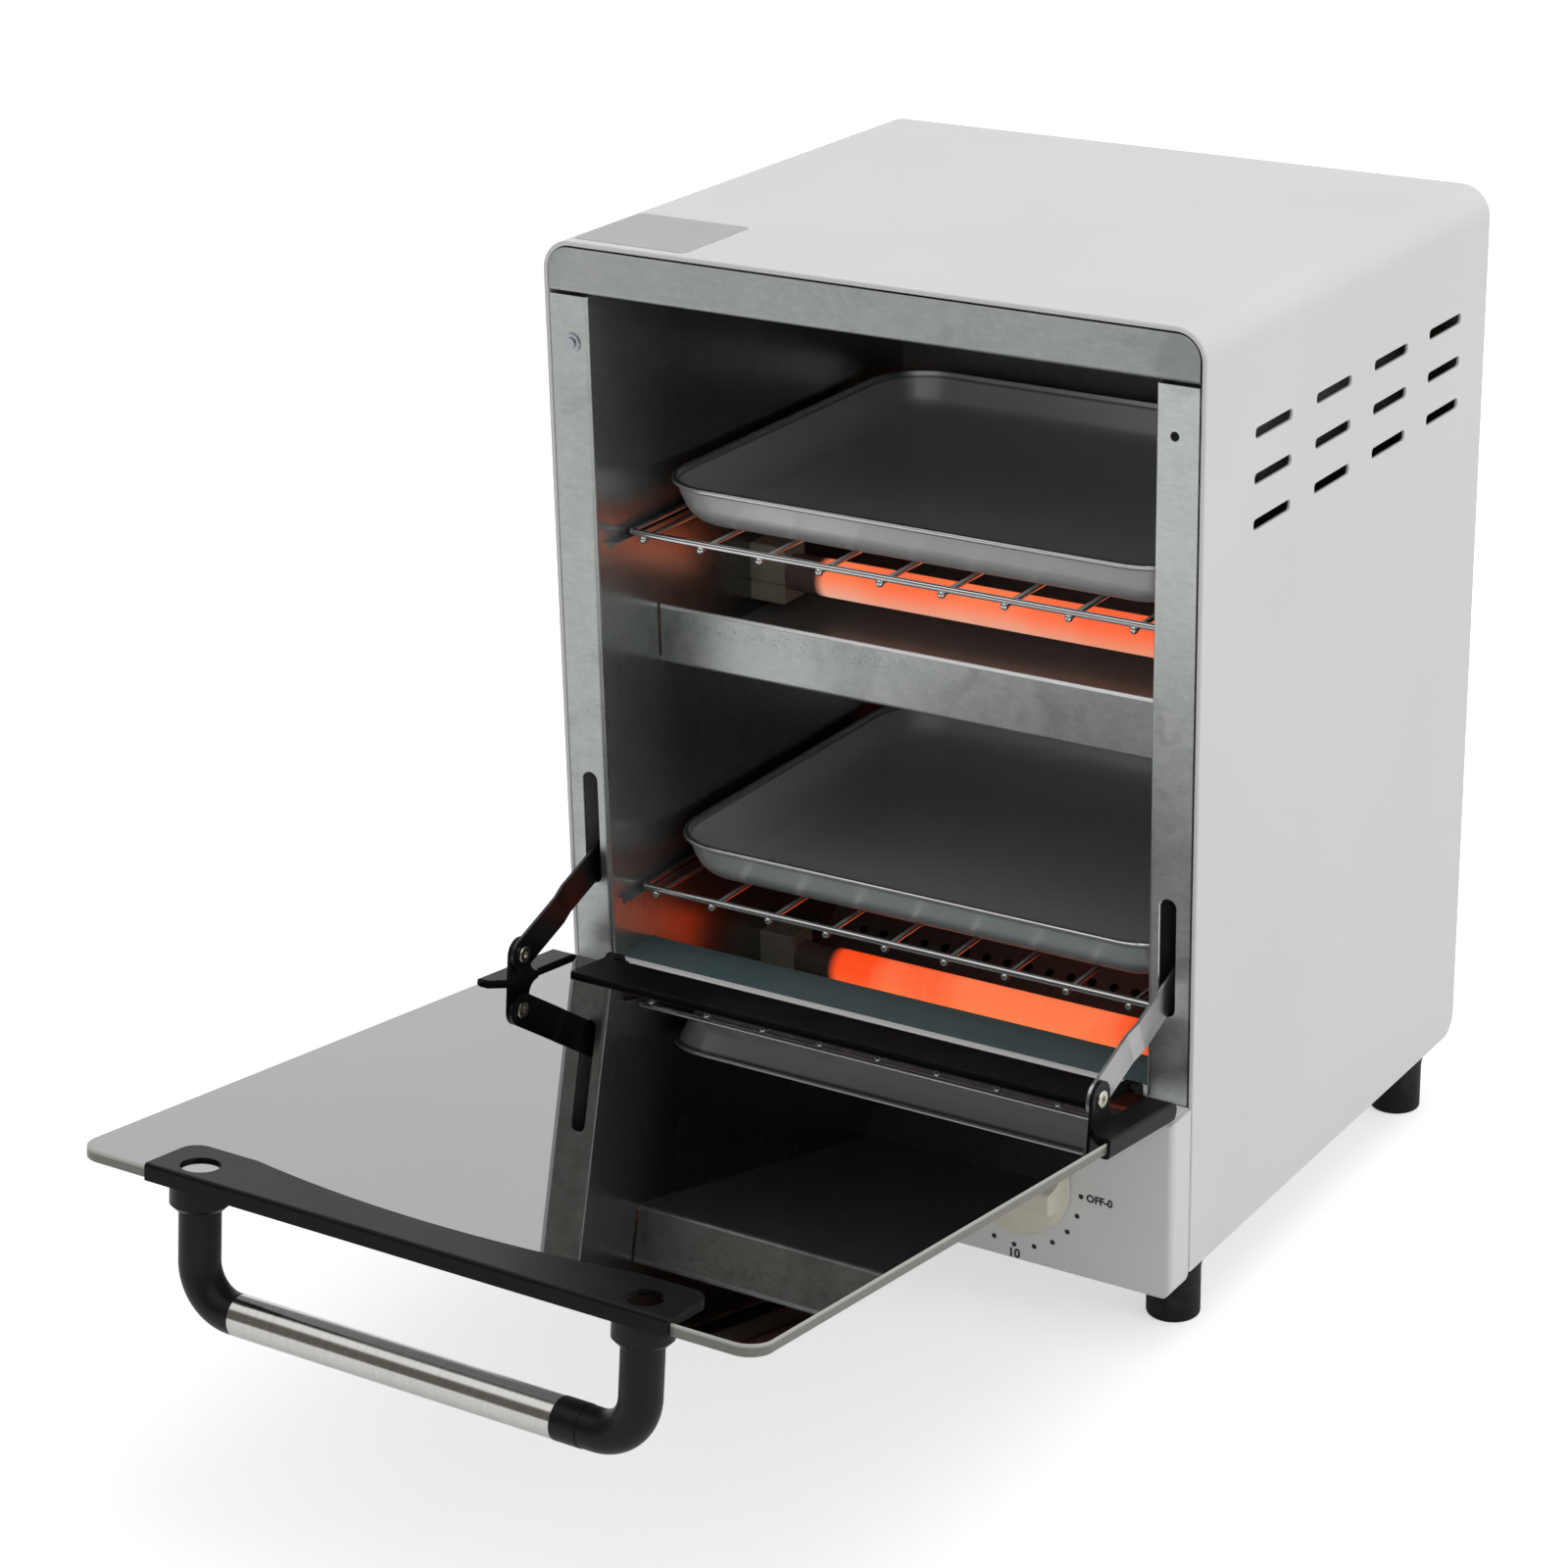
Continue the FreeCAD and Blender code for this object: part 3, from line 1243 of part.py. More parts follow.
def make_handle_tube():
    left = -(handle_spread - elbow_bend - left_elbow_straight)
    right = handle_spread - elbow_bend - right_elbow_straight
    tube = door_rod((left, handle_v, handle_axis_height), (right, handle_v, handle_axis_height),
                    handle_radius)
    spigot = door_rod((left - spigot_length, handle_v, handle_axis_height),
                      (right + spigot_length, handle_v, handle_axis_height), spigot_radius)
    return united([tube, spigot])


def make_handle_screws():
    screws = []
    end = glass_thickness + collar_height + handle_screw_grip - handle_screw_head
    for u in (-handle_spread, handle_spread):
        head = door_rod((u, handle_v, -handle_screw_head), (u, handle_v, 0), handle_screw_head_radius)
        shank = door_rod((u, handle_v, 0), (u, handle_v, end), handle_screw_radius)
        screws.append(united([head, shank]))
    return Part.makeCompound(screws)


# All pieces, under the names of their nodes
nodes = {}
nodes["outer_cover"] = make_outer_cover()
nodes["back_panel"] = make_back_panel()
nodes["base_plate"] = make_base_plate()
nodes["cover_screws"] = make_cover_screws()
nodes["cable_gland"] = make_cable_gland()
for foot_name, place in zip(("front_left", "front_right", "rear_left", "rear_right"), foot_places()):
    nodes[foot_name + "_foot"] = make_foot(*place)
nodes["foot_screws"] = make_foot_screws()
nodes["label_plate"] = make_label()
nodes["control_panel"] = make_control_panel()
nodes["timer_knob"] = make_knob(knob_spread)
nodes["thermostat_knob"] = make_knob(-knob_spread)
nodes["timer_body"] = make_timer_body()
nodes["thermostat_body"] = make_thermostat_body()
nodes["indicator_lamp"] = make_indicator_lamp()
nodes["terminal_block"] = make_terminal_block()
add_pair("liner", make_liner())
nodes["pillar_rivet"] = make_pillar_rivet()
nodes["floor_plate"] = make_floor_plate()
nodes["divider_shelf"] = make_divider_shelf()
nodes["chamber_roof"] = make_chamber_roof()
nodes["chamber_back"] = make_chamber_back()
nodes["lower_reflector"] = make_lower_reflector()
nodes["roof_board"] = make_roof_board()
nodes["back_board"] = make_back_board()
for level, heater_z, rack_z in (("upper", upper_heater_z, upper_rack_height),
                                ("lower", lower_heater_z, lower_rack_height)):
    nodes[level + "_heater_tube"] = make_heater_tube(heater_z)
    add_pair(level + "_heater_holder", make_heater_holder(heater_z))
    add_pair(level + "_runner", make_runner(rack_z))
    nodes[level + "_rack"] = make_rack(rack_z)
    nodes[level + "_tray"] = make_tray(rack_z)
nodes["door_glass"] = hung(make_door_glass())
nodes["hinge_channel"] = hung(make_hinge_channel())
add_pair("hinge_tab", make_hinge_tab())
add_pair("clip", hung(make_clip()))
add_pair("stay_rivet", hung(make_stay_rivet()))
add_pair("stay_arm", make_stay_arm())
nodes["handle_plate"] = hung(make_handle_plate())
add_pair("handle_collar", hung(make_handle_collar()))
nodes["left_handle_elbow"] = hung(make_handle_elbow(-1, left_elbow_straight))
nodes["right_handle_elbow"] = hung(make_handle_elbow(1, right_elbow_straight))
nodes["handle_tube"] = hung(make_handle_tube())
nodes["handle_screws"] = hung(make_handle_screws())

# The frame's origin stands under the middle of the depth, from the handle's front to the
# gland's end
handle_axis = hung(Part.Vertex(door_point(0, handle_v, handle_axis_height))).Point
front_reach = handle_axis.y - handle_radius
rear_reach = back_panel_outer + gland_flange + gland_neck
frame_shift = Vector(0, -(front_reach + rear_reach) / 2, 0)

os.makedirs("parts", exist_ok=True)
for name, shape in nodes.items():
    placed = shape.copy()
    placed.translate(frame_shift)
    placed.exportStep("parts/" + name + ".step")
    print(name, "solids", len(placed.Solids), "valid", placed.isValid(), "volume", round(placed.Volume, 1))

hinge_axis = hung(Part.Vertex(door_point(0, hinge_v, hinge_h))).Point + frame_shift
print("nodes", len(nodes))
print("frame shift", round(frame_shift.y, 4))
print("hinge axis", round(hinge_axis.y, 4), round(hinge_axis.z, 4))
print("arm pivot", round(arm_pivot().y + frame_shift.y, 4), round(arm_pivot().z, 4))
door_turn = 90 - door_tilt
arm_turn = door_turn - (arm_angle - arm_angle_closed)
print("door turn", round(door_turn, 3), "arm turn against it", round(arm_turn, 3), "ratio",
      round(arm_turn / door_turn, 6))
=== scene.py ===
# %% [markdown]
# # A dry heat sterilizer, dressed in Blender
# The sheet metal, the door, the racks and the trays come from the packed CAD model. They are
# loaded once and stay where they are. This script gives every piece its finish, adds what is
# printed on the panel, and sets up a plain studio with the camera.

# %% Load the packed model
import math

import bmesh
import bpy
from mathutils import Matrix, Vector


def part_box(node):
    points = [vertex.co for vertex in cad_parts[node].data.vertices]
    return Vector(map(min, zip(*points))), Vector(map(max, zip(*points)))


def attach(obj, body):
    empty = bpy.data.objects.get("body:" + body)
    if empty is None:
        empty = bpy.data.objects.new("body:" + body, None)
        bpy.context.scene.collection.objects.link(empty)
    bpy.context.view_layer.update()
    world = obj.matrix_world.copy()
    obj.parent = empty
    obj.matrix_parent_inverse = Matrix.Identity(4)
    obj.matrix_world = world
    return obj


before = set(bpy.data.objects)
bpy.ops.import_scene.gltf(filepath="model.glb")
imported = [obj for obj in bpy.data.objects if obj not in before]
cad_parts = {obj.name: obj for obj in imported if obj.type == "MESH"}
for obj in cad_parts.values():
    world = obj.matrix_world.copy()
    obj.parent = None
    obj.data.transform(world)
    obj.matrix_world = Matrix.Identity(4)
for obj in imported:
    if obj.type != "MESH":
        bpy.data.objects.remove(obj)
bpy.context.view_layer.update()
MM = 0.001

# %% [markdown]
# ## The camera
# It stands in front of the oven, a little above it and to its right. The lens is long, so that
# upright edges stay nearly parallel. A camera looks along its own -Z, so its matrix is made of
# three directions: right, up, and the way back from what it sees. The picture is a cutting from a
# slightly wider one, so the lens is shifted by a few hundredths.

# %% Camera
CAMERA_PLACE = Vector((0.6440, -1.0225, 0.6633))
CAMERA_YAW = math.radians(31.59)
CAMERA_PITCH = math.radians(22.045)
CAMERA_ROLL = math.radians(-0.785)
LENS_SHARE = 3985.4 / 1600
SHIFT_X = -0.0600
SHIFT_Y = 0.0156
SENSOR = 36.0

ahead = Vector((-math.sin(CAMERA_YAW) * math.cos(CAMERA_PITCH),
                math.cos(CAMERA_YAW) * math.cos(CAMERA_PITCH), -math.sin(CAMERA_PITCH)))
level_right = Vector((math.cos(CAMERA_YAW), math.sin(CAMERA_YAW), 0))
level_up = level_right.cross(ahead)
right = math.cos(CAMERA_ROLL) * level_right + math.sin(CAMERA_ROLL) * level_up
up = math.cos(CAMERA_ROLL) * level_up - math.sin(CAMERA_ROLL) * level_right
turn = Matrix((right, up, -ahead)).transposed()

camera_data = bpy.data.cameras.new("camera")
camera_data.sensor_width = SENSOR
camera_data.lens = SENSOR * LENS_SHARE
camera_data.shift_x = SHIFT_X
camera_data.shift_y = SHIFT_Y
camera_data.clip_start = 0.05
camera = bpy.data.objects.new("camera", camera_data)
camera.matrix_world = Matrix.Translation(CAMERA_PLACE) @ turn.to_4x4()
bpy.context.scene.collection.objects.link(camera)
bpy.context.scene.camera = camera
bpy.context.scene.view_settings.view_transform = "Standard"
print("lens", round(camera_data.lens, 2), "mm")

# %% [markdown]
# ## A shorthand for node maths
# A material is a small machine of nodes. Wiring it by hand hides the idea behind it, so a socket
# is wrapped in a class that knows how to add, subtract and multiply: `1 - mask` then makes its
# Math node by itself. All other nodes come from one method that takes the node's type, its
# settings and what goes into its sockets.

# %% A socket that does sums
class Socket:
    """An output of a node. Arithmetic on it adds Math nodes."""

    def __init__(self, tree, out):
        self.tree = tree
        self.out = out

    def maths(self, operation, first, second=0.0):
        node = self.tree.nodes.new("ShaderNodeMath")
        node.operation = operation
        feed(self.tree, node.inputs[0], first)
        feed(self.tree, node.inputs[1], second)
        return Socket(self.tree, node.outputs[0])

    def __add__(self, other):
        return self.maths("ADD", self, other)

    def __radd__(self, other):
        return self.maths("ADD", other, self)

    def __sub__(self, other):
        return self.maths("SUBTRACT", self, other)

    def __rsub__(self, other):
        return self.maths("SUBTRACT", other, self)

    def __mul__(self, other):
        return self.maths("MULTIPLY", self, other)

    def __rmul__(self, other):
        return self.maths("MULTIPLY", other, self)

    def __abs__(self):
        return self.maths("ABSOLUTE", self)


def feed(tree, slot, value):
    """Gives an input a link or a plain value."""
    if isinstance(value, Socket):
        tree.links.new(value.out, slot)
    else:
        slot.default_value = value


print("methods of a socket", [name for name in vars(Socket) if callable(getattr(Socket, name))])

# %% [markdown]
# ## A finish
# A finish is a material on Blender's Principled shader. Its patterns are laid out on the object's
# own coordinates in metres, so a noise of 900 per metre has lumps of about a millimetre on every
# piece. A bump can also lean the surface back a little: a thin bright edge is too thin to model,
# and this way it catches the light from above. Where such an edge also gets a painted highlight
# in its colour, the finish says so.

# %% Finish
LEAN = 0.9


class Finish:
    """A procedural material for one finish of the oven."""

    def __init__(self, name, **constants):
        self.name = name
        self.material = bpy.data.materials.new(name)
        self.material.use_nodes = True
        self.tree = self.material.node_tree
        self.shader = self.tree.nodes["Principled BSDF"]
        for key, value in constants.items():
            self.shader.inputs[key.replace("_", " ")].default_value = value
        self.place = self.node("ShaderNodeTexCoord", out="Object")

    def node(self, kind, settings=None, sockets=None, out=0):
        """Adds a node, first its settings, then its inputs, and returns one of its outputs."""
        made = self.tree.nodes.new(kind)
        for key, value in (settings or {}).items():
            setattr(made, key, value)
        for key, value in (sockets or {}).items():
            feed(self.tree, made.inputs[key], value)
        return Socket(self.tree, made.outputs[out])

    def set(self, **links):
        """Feeds the shader's own sockets."""
        for key, value in links.items():
            feed(self.tree, self.shader.inputs[key.replace("_", " ")], value)

    def stretched(self, x, y, z):
        """The object's coordinates, scaled, which squeezes a pattern along an axis."""
        return self.node("ShaderNodeMapping", {"vector_type": "POINT"},
                         {"Vector": self.place, "Scale": (x, y, z)})

    def noise(self, per_metre, detail=3.0, rough=0.5, vector=None, distortion=0.0):
        return self.node("ShaderNodeTexNoise", {"noise_dimensions": "3D"},
                         {"Vector": vector or self.place, "Scale": per_metre, "Detail": detail,
                          "Roughness": rough, "Distortion": distortion})

    def cells(self, per_metre):
        return self.node("ShaderNodeTexVoronoi", {"feature": "F1"},
                         {"Vector": self.place, "Scale": per_metre}, "Distance")

    def spread(self, value, low, high, to_low=0.0, to_high=1.0):
        """Stretches a value from low..high to another range and stops at its ends."""
        return self.node("ShaderNodeMapRange", {"clamp": True},
                         {"Value": value, "From Min": low, "From Max": high,
                          "To Min": to_low, "To Max": to_high})

    def mix(self, mask, first, second):
        """One colour where the mask is 0, the other where it is 1."""
        return self.node("ShaderNodeMix", {"data_type": "RGBA", "clamp_factor": True},
                         {0: mask, 6: first, 7: second}, out=2)

    def xyz(self):
        split = self.node("ShaderNodeSeparateXYZ", None, {0: self.place})
        return [Socket(self.tree, out) for out in split.out.node.outputs]

    def bump(self, height, strength, depth, tilt=0.0):
        """Small relief, depth in metres. At tilt 1 the surface is shaded as if it leaned back."""
        sockets = {"Height": height, "Strength": strength, "Distance": depth}
        if tilt:
            lean = self.node("ShaderNodeCombineXYZ", None, {"Z": tilt * LEAN})
            flat = self.node("ShaderNodeNewGeometry", out="Normal")
            sockets["Normal"] = self.node("ShaderNodeVectorMath", {"operation": "ADD"},
                                          {0: flat, 1: lean})
        self.set(Normal=self.node("ShaderNodeBump", None, sockets))


def grey(level):
    return (level, level, level, 1.0)


painted = {}


def paint(finish, *names):
    """Puts a finish in the material slots of CAD nodes."""
    for name in names:
        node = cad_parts[name]
        node.data.materials.clear()
        node.data.materials.append(finish.material)
        painted[name] = finish.name


print("tools of a finish", [name for name in vars(Finish) if not name.startswith("_")])

# %% [markdown]
# ## White powder coat
# The cover and the panel are steel sheet with a baked powder coat: a warm, faintly grey white
# with a satin gloss. A real coat isn't flat. It has a fine orange peel of well under a
# millimetre, a little unevenness over a hand's width, and a trace of handling. Each of the three
# has its own noise: the finest drives the peel, the other two the tone, and the last the gloss.

# %% Powder coat
COAT_DARK, COAT_LIGHT = (0.735, 0.737, 0.725, 1.0), (0.775, 0.777, 0.765, 1.0)
PEEL_PER_METRE, PEEL_DEPTH = 1500.0, 0.08 * MM


def powder_coat():
    finish = Finish("powder_coat", IOR=1.46)
    clouds = finish.noise(9.0, detail=4.0)
    handled = finish.noise(38.0, detail=5.0, rough=0.6)
    tone = finish.spread(clouds + handled * 0.35, 0.45, 0.95)
    finish.set(Base_Color=finish.mix(tone, COAT_DARK, COAT_LIGHT),
               Roughness=finish.spread(handled, 0.3, 0.75, 0.36, 0.47))
    finish.bump(finish.noise(PEEL_PER_METRE, detail=2.0), 0.12, PEEL_DEPTH)
    return finish


paint(powder_coat(), "outer_cover", "control_panel")
print("powder coat on", [name for name in painted if painted[name] == "powder_coat"])

# %% [markdown]
# ## Galvanised sheet
# The inner frame is folded from zinc-coated sheet. What faces the room is worn to a satin: a fine
# grain along the sheet, a soft mottle, smudges from handling, and here and there a crowd of tiny
# dark pits. What lies inside the chamber was never touched. It is smoother and darker, so the hot
# tubes show in it as one soft spot and not as a red wash. Both are one material: how far back a
# point lies, its Y, tells them apart.

# %% Galvanised sheet
INNER_STEP = 1.0 * MM
SOFT_STEP = 5.0 * MM
CHAMBER_DULL = 0.36
DULL_DEPTH = 50.0 * MM
# Height and blur of the painted highlight line under a bright edge.
LINE_HEIGHT, LINE_BLUR = 1.4 * MM, 0.4 * MM
SMUDGE_SHARE, PIT_SHARE, SCUFF_SHARE = 0.30, 0.50, 0.55
GRAIN_DEPTH = 0.03 * MM


def galvanised(name, room, chamber, inner_from, gloss, inner_gloss, dull=CHAMBER_DULL,
               dull_depth=DULL_DEPTH, bright_edge=None, marked=None):
    """Two tones for the room side and two for the chamber side; the change is at Y = inner_from.

    The chamber side is dull near the opening and like a mirror deeper in.

    bright_edge is the height of an upper edge with a painted highlight, a near-white line just
    under it. marked is (lowest Z, highest Z, last X) of a strip with scuff marks.
    """
    finish = Finish(name)
    x, y, z = finish.xyz()
    grain = finish.noise(900.0, detail=4.0, rough=0.65, vector=finish.stretched(0.22, 1.0, 1.0))
    mottle = finish.noise(210.0, detail=5.0, rough=0.62, distortion=0.7)
    clouds = finish.noise(19.0, detail=3.0, rough=0.5)
    tone = finish.spread(grain * 0.30 + mottle * 0.36 + clouds * 0.34, 0.38, 0.62)
    smudge = finish.spread(finish.noise(24.0, detail=4.0, rough=0.55, distortion=1.4), 0.58, 0.72)
    crowd = finish.spread(finish.noise(31.0, detail=3.0, rough=0.6,
                                       vector=finish.stretched(0.5, 1.0, 1.6)), 0.56, 0.66)
    pits = finish.spread(finish.noise(1500.0, detail=2.0, rough=0.7, distortion=1.5), 0.60, 0.66)
    inside = finish.spread(y, inner_from, inner_from + INNER_STEP)
    front = finish.mix(tone, room[0], room[1])
    front = finish.mix(smudge * SMUDGE_SHARE + pits * crowd * PIT_SHARE, front, room[2])
    if marked:
        low, high, last_x = marked
        strip = finish.spread(z, low, low + SOFT_STEP) * finish.spread(z, high, high - INNER_STEP)
        strip = strip * finish.spread(x, last_x, last_x - SOFT_STEP)
        scuffs = finish.noise(640.0, detail=3.0, rough=0.6, distortion=2.5)
        scuffs = finish.spread(scuffs, 0.57, 0.62)
        front = finish.mix(scuffs * strip * SCUFF_SHARE, front, room[2])
    line = 0.0
    # Painted highlight: a near-white line just under the upper edge, room side only, also leaned
    # back by the bump.
    if bright_edge:
        line_foot = bright_edge - LINE_HEIGHT
        line = finish.spread(z, line_foot - LINE_BLUR, line_foot) * (1 - inside)
        front = finish.mix(line, front, grey(0.97))
    back = finish.mix(tone, chamber[0], chamber[1])
    rough = finish.spread(mottle * 0.6 + clouds * 0.4, 0.35, 0.65, gloss, gloss + 0.09)
    inner_rough = finish.spread(clouds, 0.35, 0.65, inner_gloss, inner_gloss + 0.06)
    deep = finish.spread(y, inner_from, inner_from + dull_depth)
    finish.set(Base_Color=finish.mix(inside, front, back), Metallic=1 - inside * (1 - deep) * dull,
               Roughness=rough * (1 - inside) + inner_rough * inside)
    finish.bump(grain * 0.7 + mottle * 0.3, 0.05, GRAIN_DEPTH, tilt=line)
    return finish


# %% [markdown]
# ## One sheet, many tones
# The pillars, the rail and the shelf are the same sheet, and each takes its own share of the
# common tones: lighter and darker copies of one material, a painted light and shade for how bright
# each piece looks where it stands. The shelf's lip carries a painted highlight line. The floor is
# a teal grey. Its front edge carries a white band for the white ledge under the door: partly the
# ledge's own coat, partly painted highlight, as it is lighter than the coat.

# %% Sheet pieces
# Painted light and shade: each share lightens or darkens the same sheet's tones for one piece.
RIGHT_LIGHT_SHARE, LEFT_LIGHT_SHARE, SHELF_LIGHT_SHARE, RAIL_LIGHT_SHARE = 1.40, 1.08, 1.22, 0.86
FRAME_GLOSS, FRAME_INNER_GLOSS = 0.34, 0.22


def room_tones(share=1.0):
    """The dark and the light of the mottle, and the tone of pits and smudges."""
    return ((0.40 * share, 0.425 * share, 0.41 * share, 1.0),
            (0.54 * share, 0.565 * share, 0.545 * share, 1.0), (0.13, 0.145, 0.14, 1.0))


chamber_tones = ((0.27, 0.29, 0.285, 1.0), (0.35, 0.37, 0.36, 1.0))
floor_tones = ((0.165, 0.25, 0.265, 1.0), (0.205, 0.295, 0.31, 1.0))
back_tones = ((0.17, 0.185, 0.19, 1.0), (0.23, 0.245, 0.245, 1.0), (0.09, 0.10, 0.105, 1.0))
# Lighter than the powder coat: the ledge band is partly painted highlight.
LIT_LEDGE_WHITE = (0.96, 0.96, 0.95, 1.0)
FRONT_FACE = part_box("right_liner")[0].y
shelf_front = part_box("divider_shelf")[0].y
shelf_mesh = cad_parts["divider_shelf"].data
lip_top = max(corner.co.z for corner in shelf_mesh.vertices
              if corner.co.y < shelf_front + INNER_STEP)
inner_from = FRONT_FACE + INNER_STEP
for side, share in (("right", RIGHT_LIGHT_SHARE), ("left", LEFT_LIGHT_SHARE)):
    paint(galvanised(side + "_frame_sheet", room_tones(share), chamber_tones, inner_from,
                     FRAME_GLOSS, FRAME_INNER_GLOSS),
          side + "_liner", side + "_upper_runner", side + "_lower_runner")
paint(galvanised("roof_sheet", room_tones(RAIL_LIGHT_SHARE), chamber_tones, inner_from, FRAME_GLOSS,
                 FRAME_INNER_GLOSS), "chamber_roof")
# The shelf's lip gets the painted highlight line.
paint(galvanised("shelf_sheet", room_tones(SHELF_LIGHT_SHARE), chamber_tones, shelf_front + INNER_STEP,
                 0.33, 0.36, dull=0.8, dull_depth=1.0, bright_edge=lip_top,
                 marked=(lip_top - 12.0 * MM, lip_top - 2.0 * MM, 0.0)), "divider_shelf")
paint(galvanised("shell_sheet", room_tones(), room_tones(), FRONT_FACE, 0.30, 0.30, dull=0.0),
      "back_panel", "base_plate")
paint(galvanised("back_sheet", back_tones, back_tones, FRONT_FACE, 0.34, 0.34, dull=0.6,
                 dull_depth=1.0), "chamber_back", "lower_reflector")
WHITE_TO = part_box("floor_plate")[0].y + 3.4 * MM
LEDGE_BLUR = 0.2 * MM


def floor_sheet():
    """The teal grey floor; a white band on its front edge stands in for the panel's lit ledge,
    partly painted highlight.
    """
    finish = Finish("floor_sheet")
    y = finish.xyz()[1]
    clouds = finish.noise(25.0, detail=4.0, rough=0.6)
    fine = finish.noise(420.0, detail=4.0, rough=0.7)
    tone = finish.spread(clouds * 0.6 + fine * 0.4, 0.36, 0.64)
    # Painted highlight in part: the white band stands in for the lit ledge in front of the floor.
    bare = finish.spread(y, WHITE_TO, WHITE_TO + LEDGE_BLUR)
    teal = finish.mix(tone, floor_tones[0], floor_tones[1])
    finish.set(Base_Color=finish.mix(bare, LIT_LEDGE_WHITE, teal),
               Metallic=bare * 0.5, Roughness=finish.spread(fine, 0.3, 0.7, 0.40, 0.50))
    finish.bump(fine, 0.05, GRAIN_DEPTH)
    return finish


paint(floor_sheet(), "floor_plate")
print("sheet pieces", sum(1 for finish_name in painted.values() if finish_name.endswith("sheet")))

# %% [markdown]
# ## Mirror glass
# The door is one pane of toughened glass with a dark mirror coat. It returns about a third of the
# light, so white comes back as a lilac grey. Its ground edge has no coat: it is pale and dull. The
# edge is told from the faces by the pane's own normal, which is the same at every pose.

# %% Mirror glass
DOOR_TILT = math.radians(7.44)
DOOR_NORMAL = Vector((0, math.sin(DOOR_TILT), math.cos(DOOR_TILT)))
glass_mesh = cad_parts["door_glass"].data
GLASS_TOP = max(corner.co.dot(DOOR_NORMAL) for corner in glass_mesh.vertices)
RIM_FROM, RIM_TO = 1.3 * MM, 0.7 * MM
GROUND_TONE, GROUND_RIM = (0.185, 0.18, 0.155, 1.0), (0.46, 0.455, 0.42, 1.0)
COAT_TONES = ((0.342, 0.334, 0.342, 1.0), (0.354, 0.346, 0.354, 1.0))


def mirror_glass():
    finish = Finish("mirror_glass", IOR=1.5, Coat_Roughness=0.01)
    facing = finish.node("ShaderNodeVectorMath", {"operation": "DOT_PRODUCT"},
                         {0: finish.node("ShaderNodeTexCoord", out="Normal"), 1: DOOR_NORMAL},
                         out="Value")
    edge = finish.spread(abs(facing), 0.97, 0.93)
    height = finish.node("ShaderNodeVectorMath", {"operation": "DOT_PRODUCT"},
                         {0: finish.place, 1: DOOR_NORMAL}, out="Value")
    rim = finish.spread(height, GLASS_TOP - RIM_FROM, GLASS_TOP - RIM_TO)
    ground = finish.mix(rim, GROUND_TONE, GROUND_RIM)
    haze = finish.noise(14.0, detail=5.0, rough=0.6)
    dust = finish.noise(420.0, detail=3.0, rough=0.7)
    film = finish.spread(haze * 0.8 + dust * 0.2, 0.36, 0.66)
    coat = finish.mix(film, *COAT_TONES)
    finish.set(Base_Color=finish.mix(edge, coat, ground),
               Metallic=1 - edge,
               Roughness=edge * 0.28 + finish.spread(film, 0.0, 1.0, 0.012, 0.020),
               Coat_Weight=(1 - edge) * 0.25)
    return finish


paint(mirror_glass(), "door_glass")

# %% [markdown]
# ## Black parts
# The strip, the clips and the folded plate are steel with a black satin lacquer. The handle's
# elbows and collars are moulded plastic of nearly the same black, a little duller, with a very
# fine grain. The feet are rubber, the dullest of the three, with dust in the pores.

# %% Lacquer, plastic and rubber
LACQUER_TONES = ((0.0050, 0.0050, 0.0056, 1.0), (0.0095, 0.0095, 0.0108, 1.0))
HANDLE_TONES = ((0.0070, 0.0073, 0.0083, 1.0), (0.0115, 0.0118, 0.013, 1.0))
SWITCH_TONES = ((0.012, 0.012, 0.013, 1.0), (0.024, 0.024, 0.025, 1.0))
RUBBER_TONES = ((0.008, 0.008, 0.009, 1.0), (0.028, 0.027, 0.026, 1.0))


def black_lacquer():
    finish = Finish("black_lacquer", IOR=1.42, Specular_IOR_Level=0.15)
    haze = finish.noise(45.0, detail=4.0, rough=0.6)
    rub = finish.noise(220.0, detail=3.0, vector=finish.stretched(0.25, 1.0, 1.0))
    tone = finish.spread(haze * 0.7 + rub * 0.3, 0.35, 0.7)
    finish.set(Base_Color=finish.mix(tone, *LACQUER_TONES),
               Roughness=finish.spread(tone, 0.0, 1.0, 0.28, 0.38))
    finish.bump(finish.noise(1900.0, detail=2.0), 0.10, 0.05 * MM)
    return finish


def moulded_plastic(name, tones, gloss, grain, shine=0.5):
    """Plastic with a grain of so many cells per metre; gloss is its lowest roughness."""
    finish = Finish(name, IOR=1.48, Specular_IOR_Level=shine)
    haze = finish.noise(60.0, detail=3.0)
    finish.set(Base_Color=finish.mix(finish.spread(haze, 0.35, 0.65), *tones),
               Roughness=finish.spread(haze, 0.3, 0.7, gloss, gloss + 0.1))
    finish.bump(finish.cells(grain), 0.18, 0.06 * MM)
    return finish


def rubber():
    finish = Finish("foot_rubber", IOR=1.45, Specular_IOR_Level=0.25)
    pores = finish.noise(700.0, detail=3.0, rough=0.65)
    dust = finish.spread(finish.noise(90.0, detail=4.0), 0.5, 0.75)
    finish.set(Base_Color=finish.mix(dust, *RUBBER_TONES),
               Roughness=finish.spread(pores, 0.3, 0.7, 0.48, 0.68))
    finish.bump(pores, 0.35, 0.12 * MM)
    return finish


paint(black_lacquer(), "hinge_channel", "right_clip", "left_clip", "handle_plate",
      "right_hinge_tab", "left_hinge_tab")
paint(moulded_plastic("handle_plastic", HANDLE_TONES, 0.32, 1300.0, shine=0.20),
      "right_handle_collar", "left_handle_collar", "left_handle_elbow", "right_handle_elbow")
paint(moulded_plastic("switch_plastic", SWITCH_TONES, 0.42, 1100.0), "cable_gland", "timer_body",
      "thermostat_body", "terminal_block")
paint(rubber(), "front_left_foot", "front_right_foot", "rear_left_foot", "rear_right_foot")
print("finishes so far", sorted(set(painted.values())))
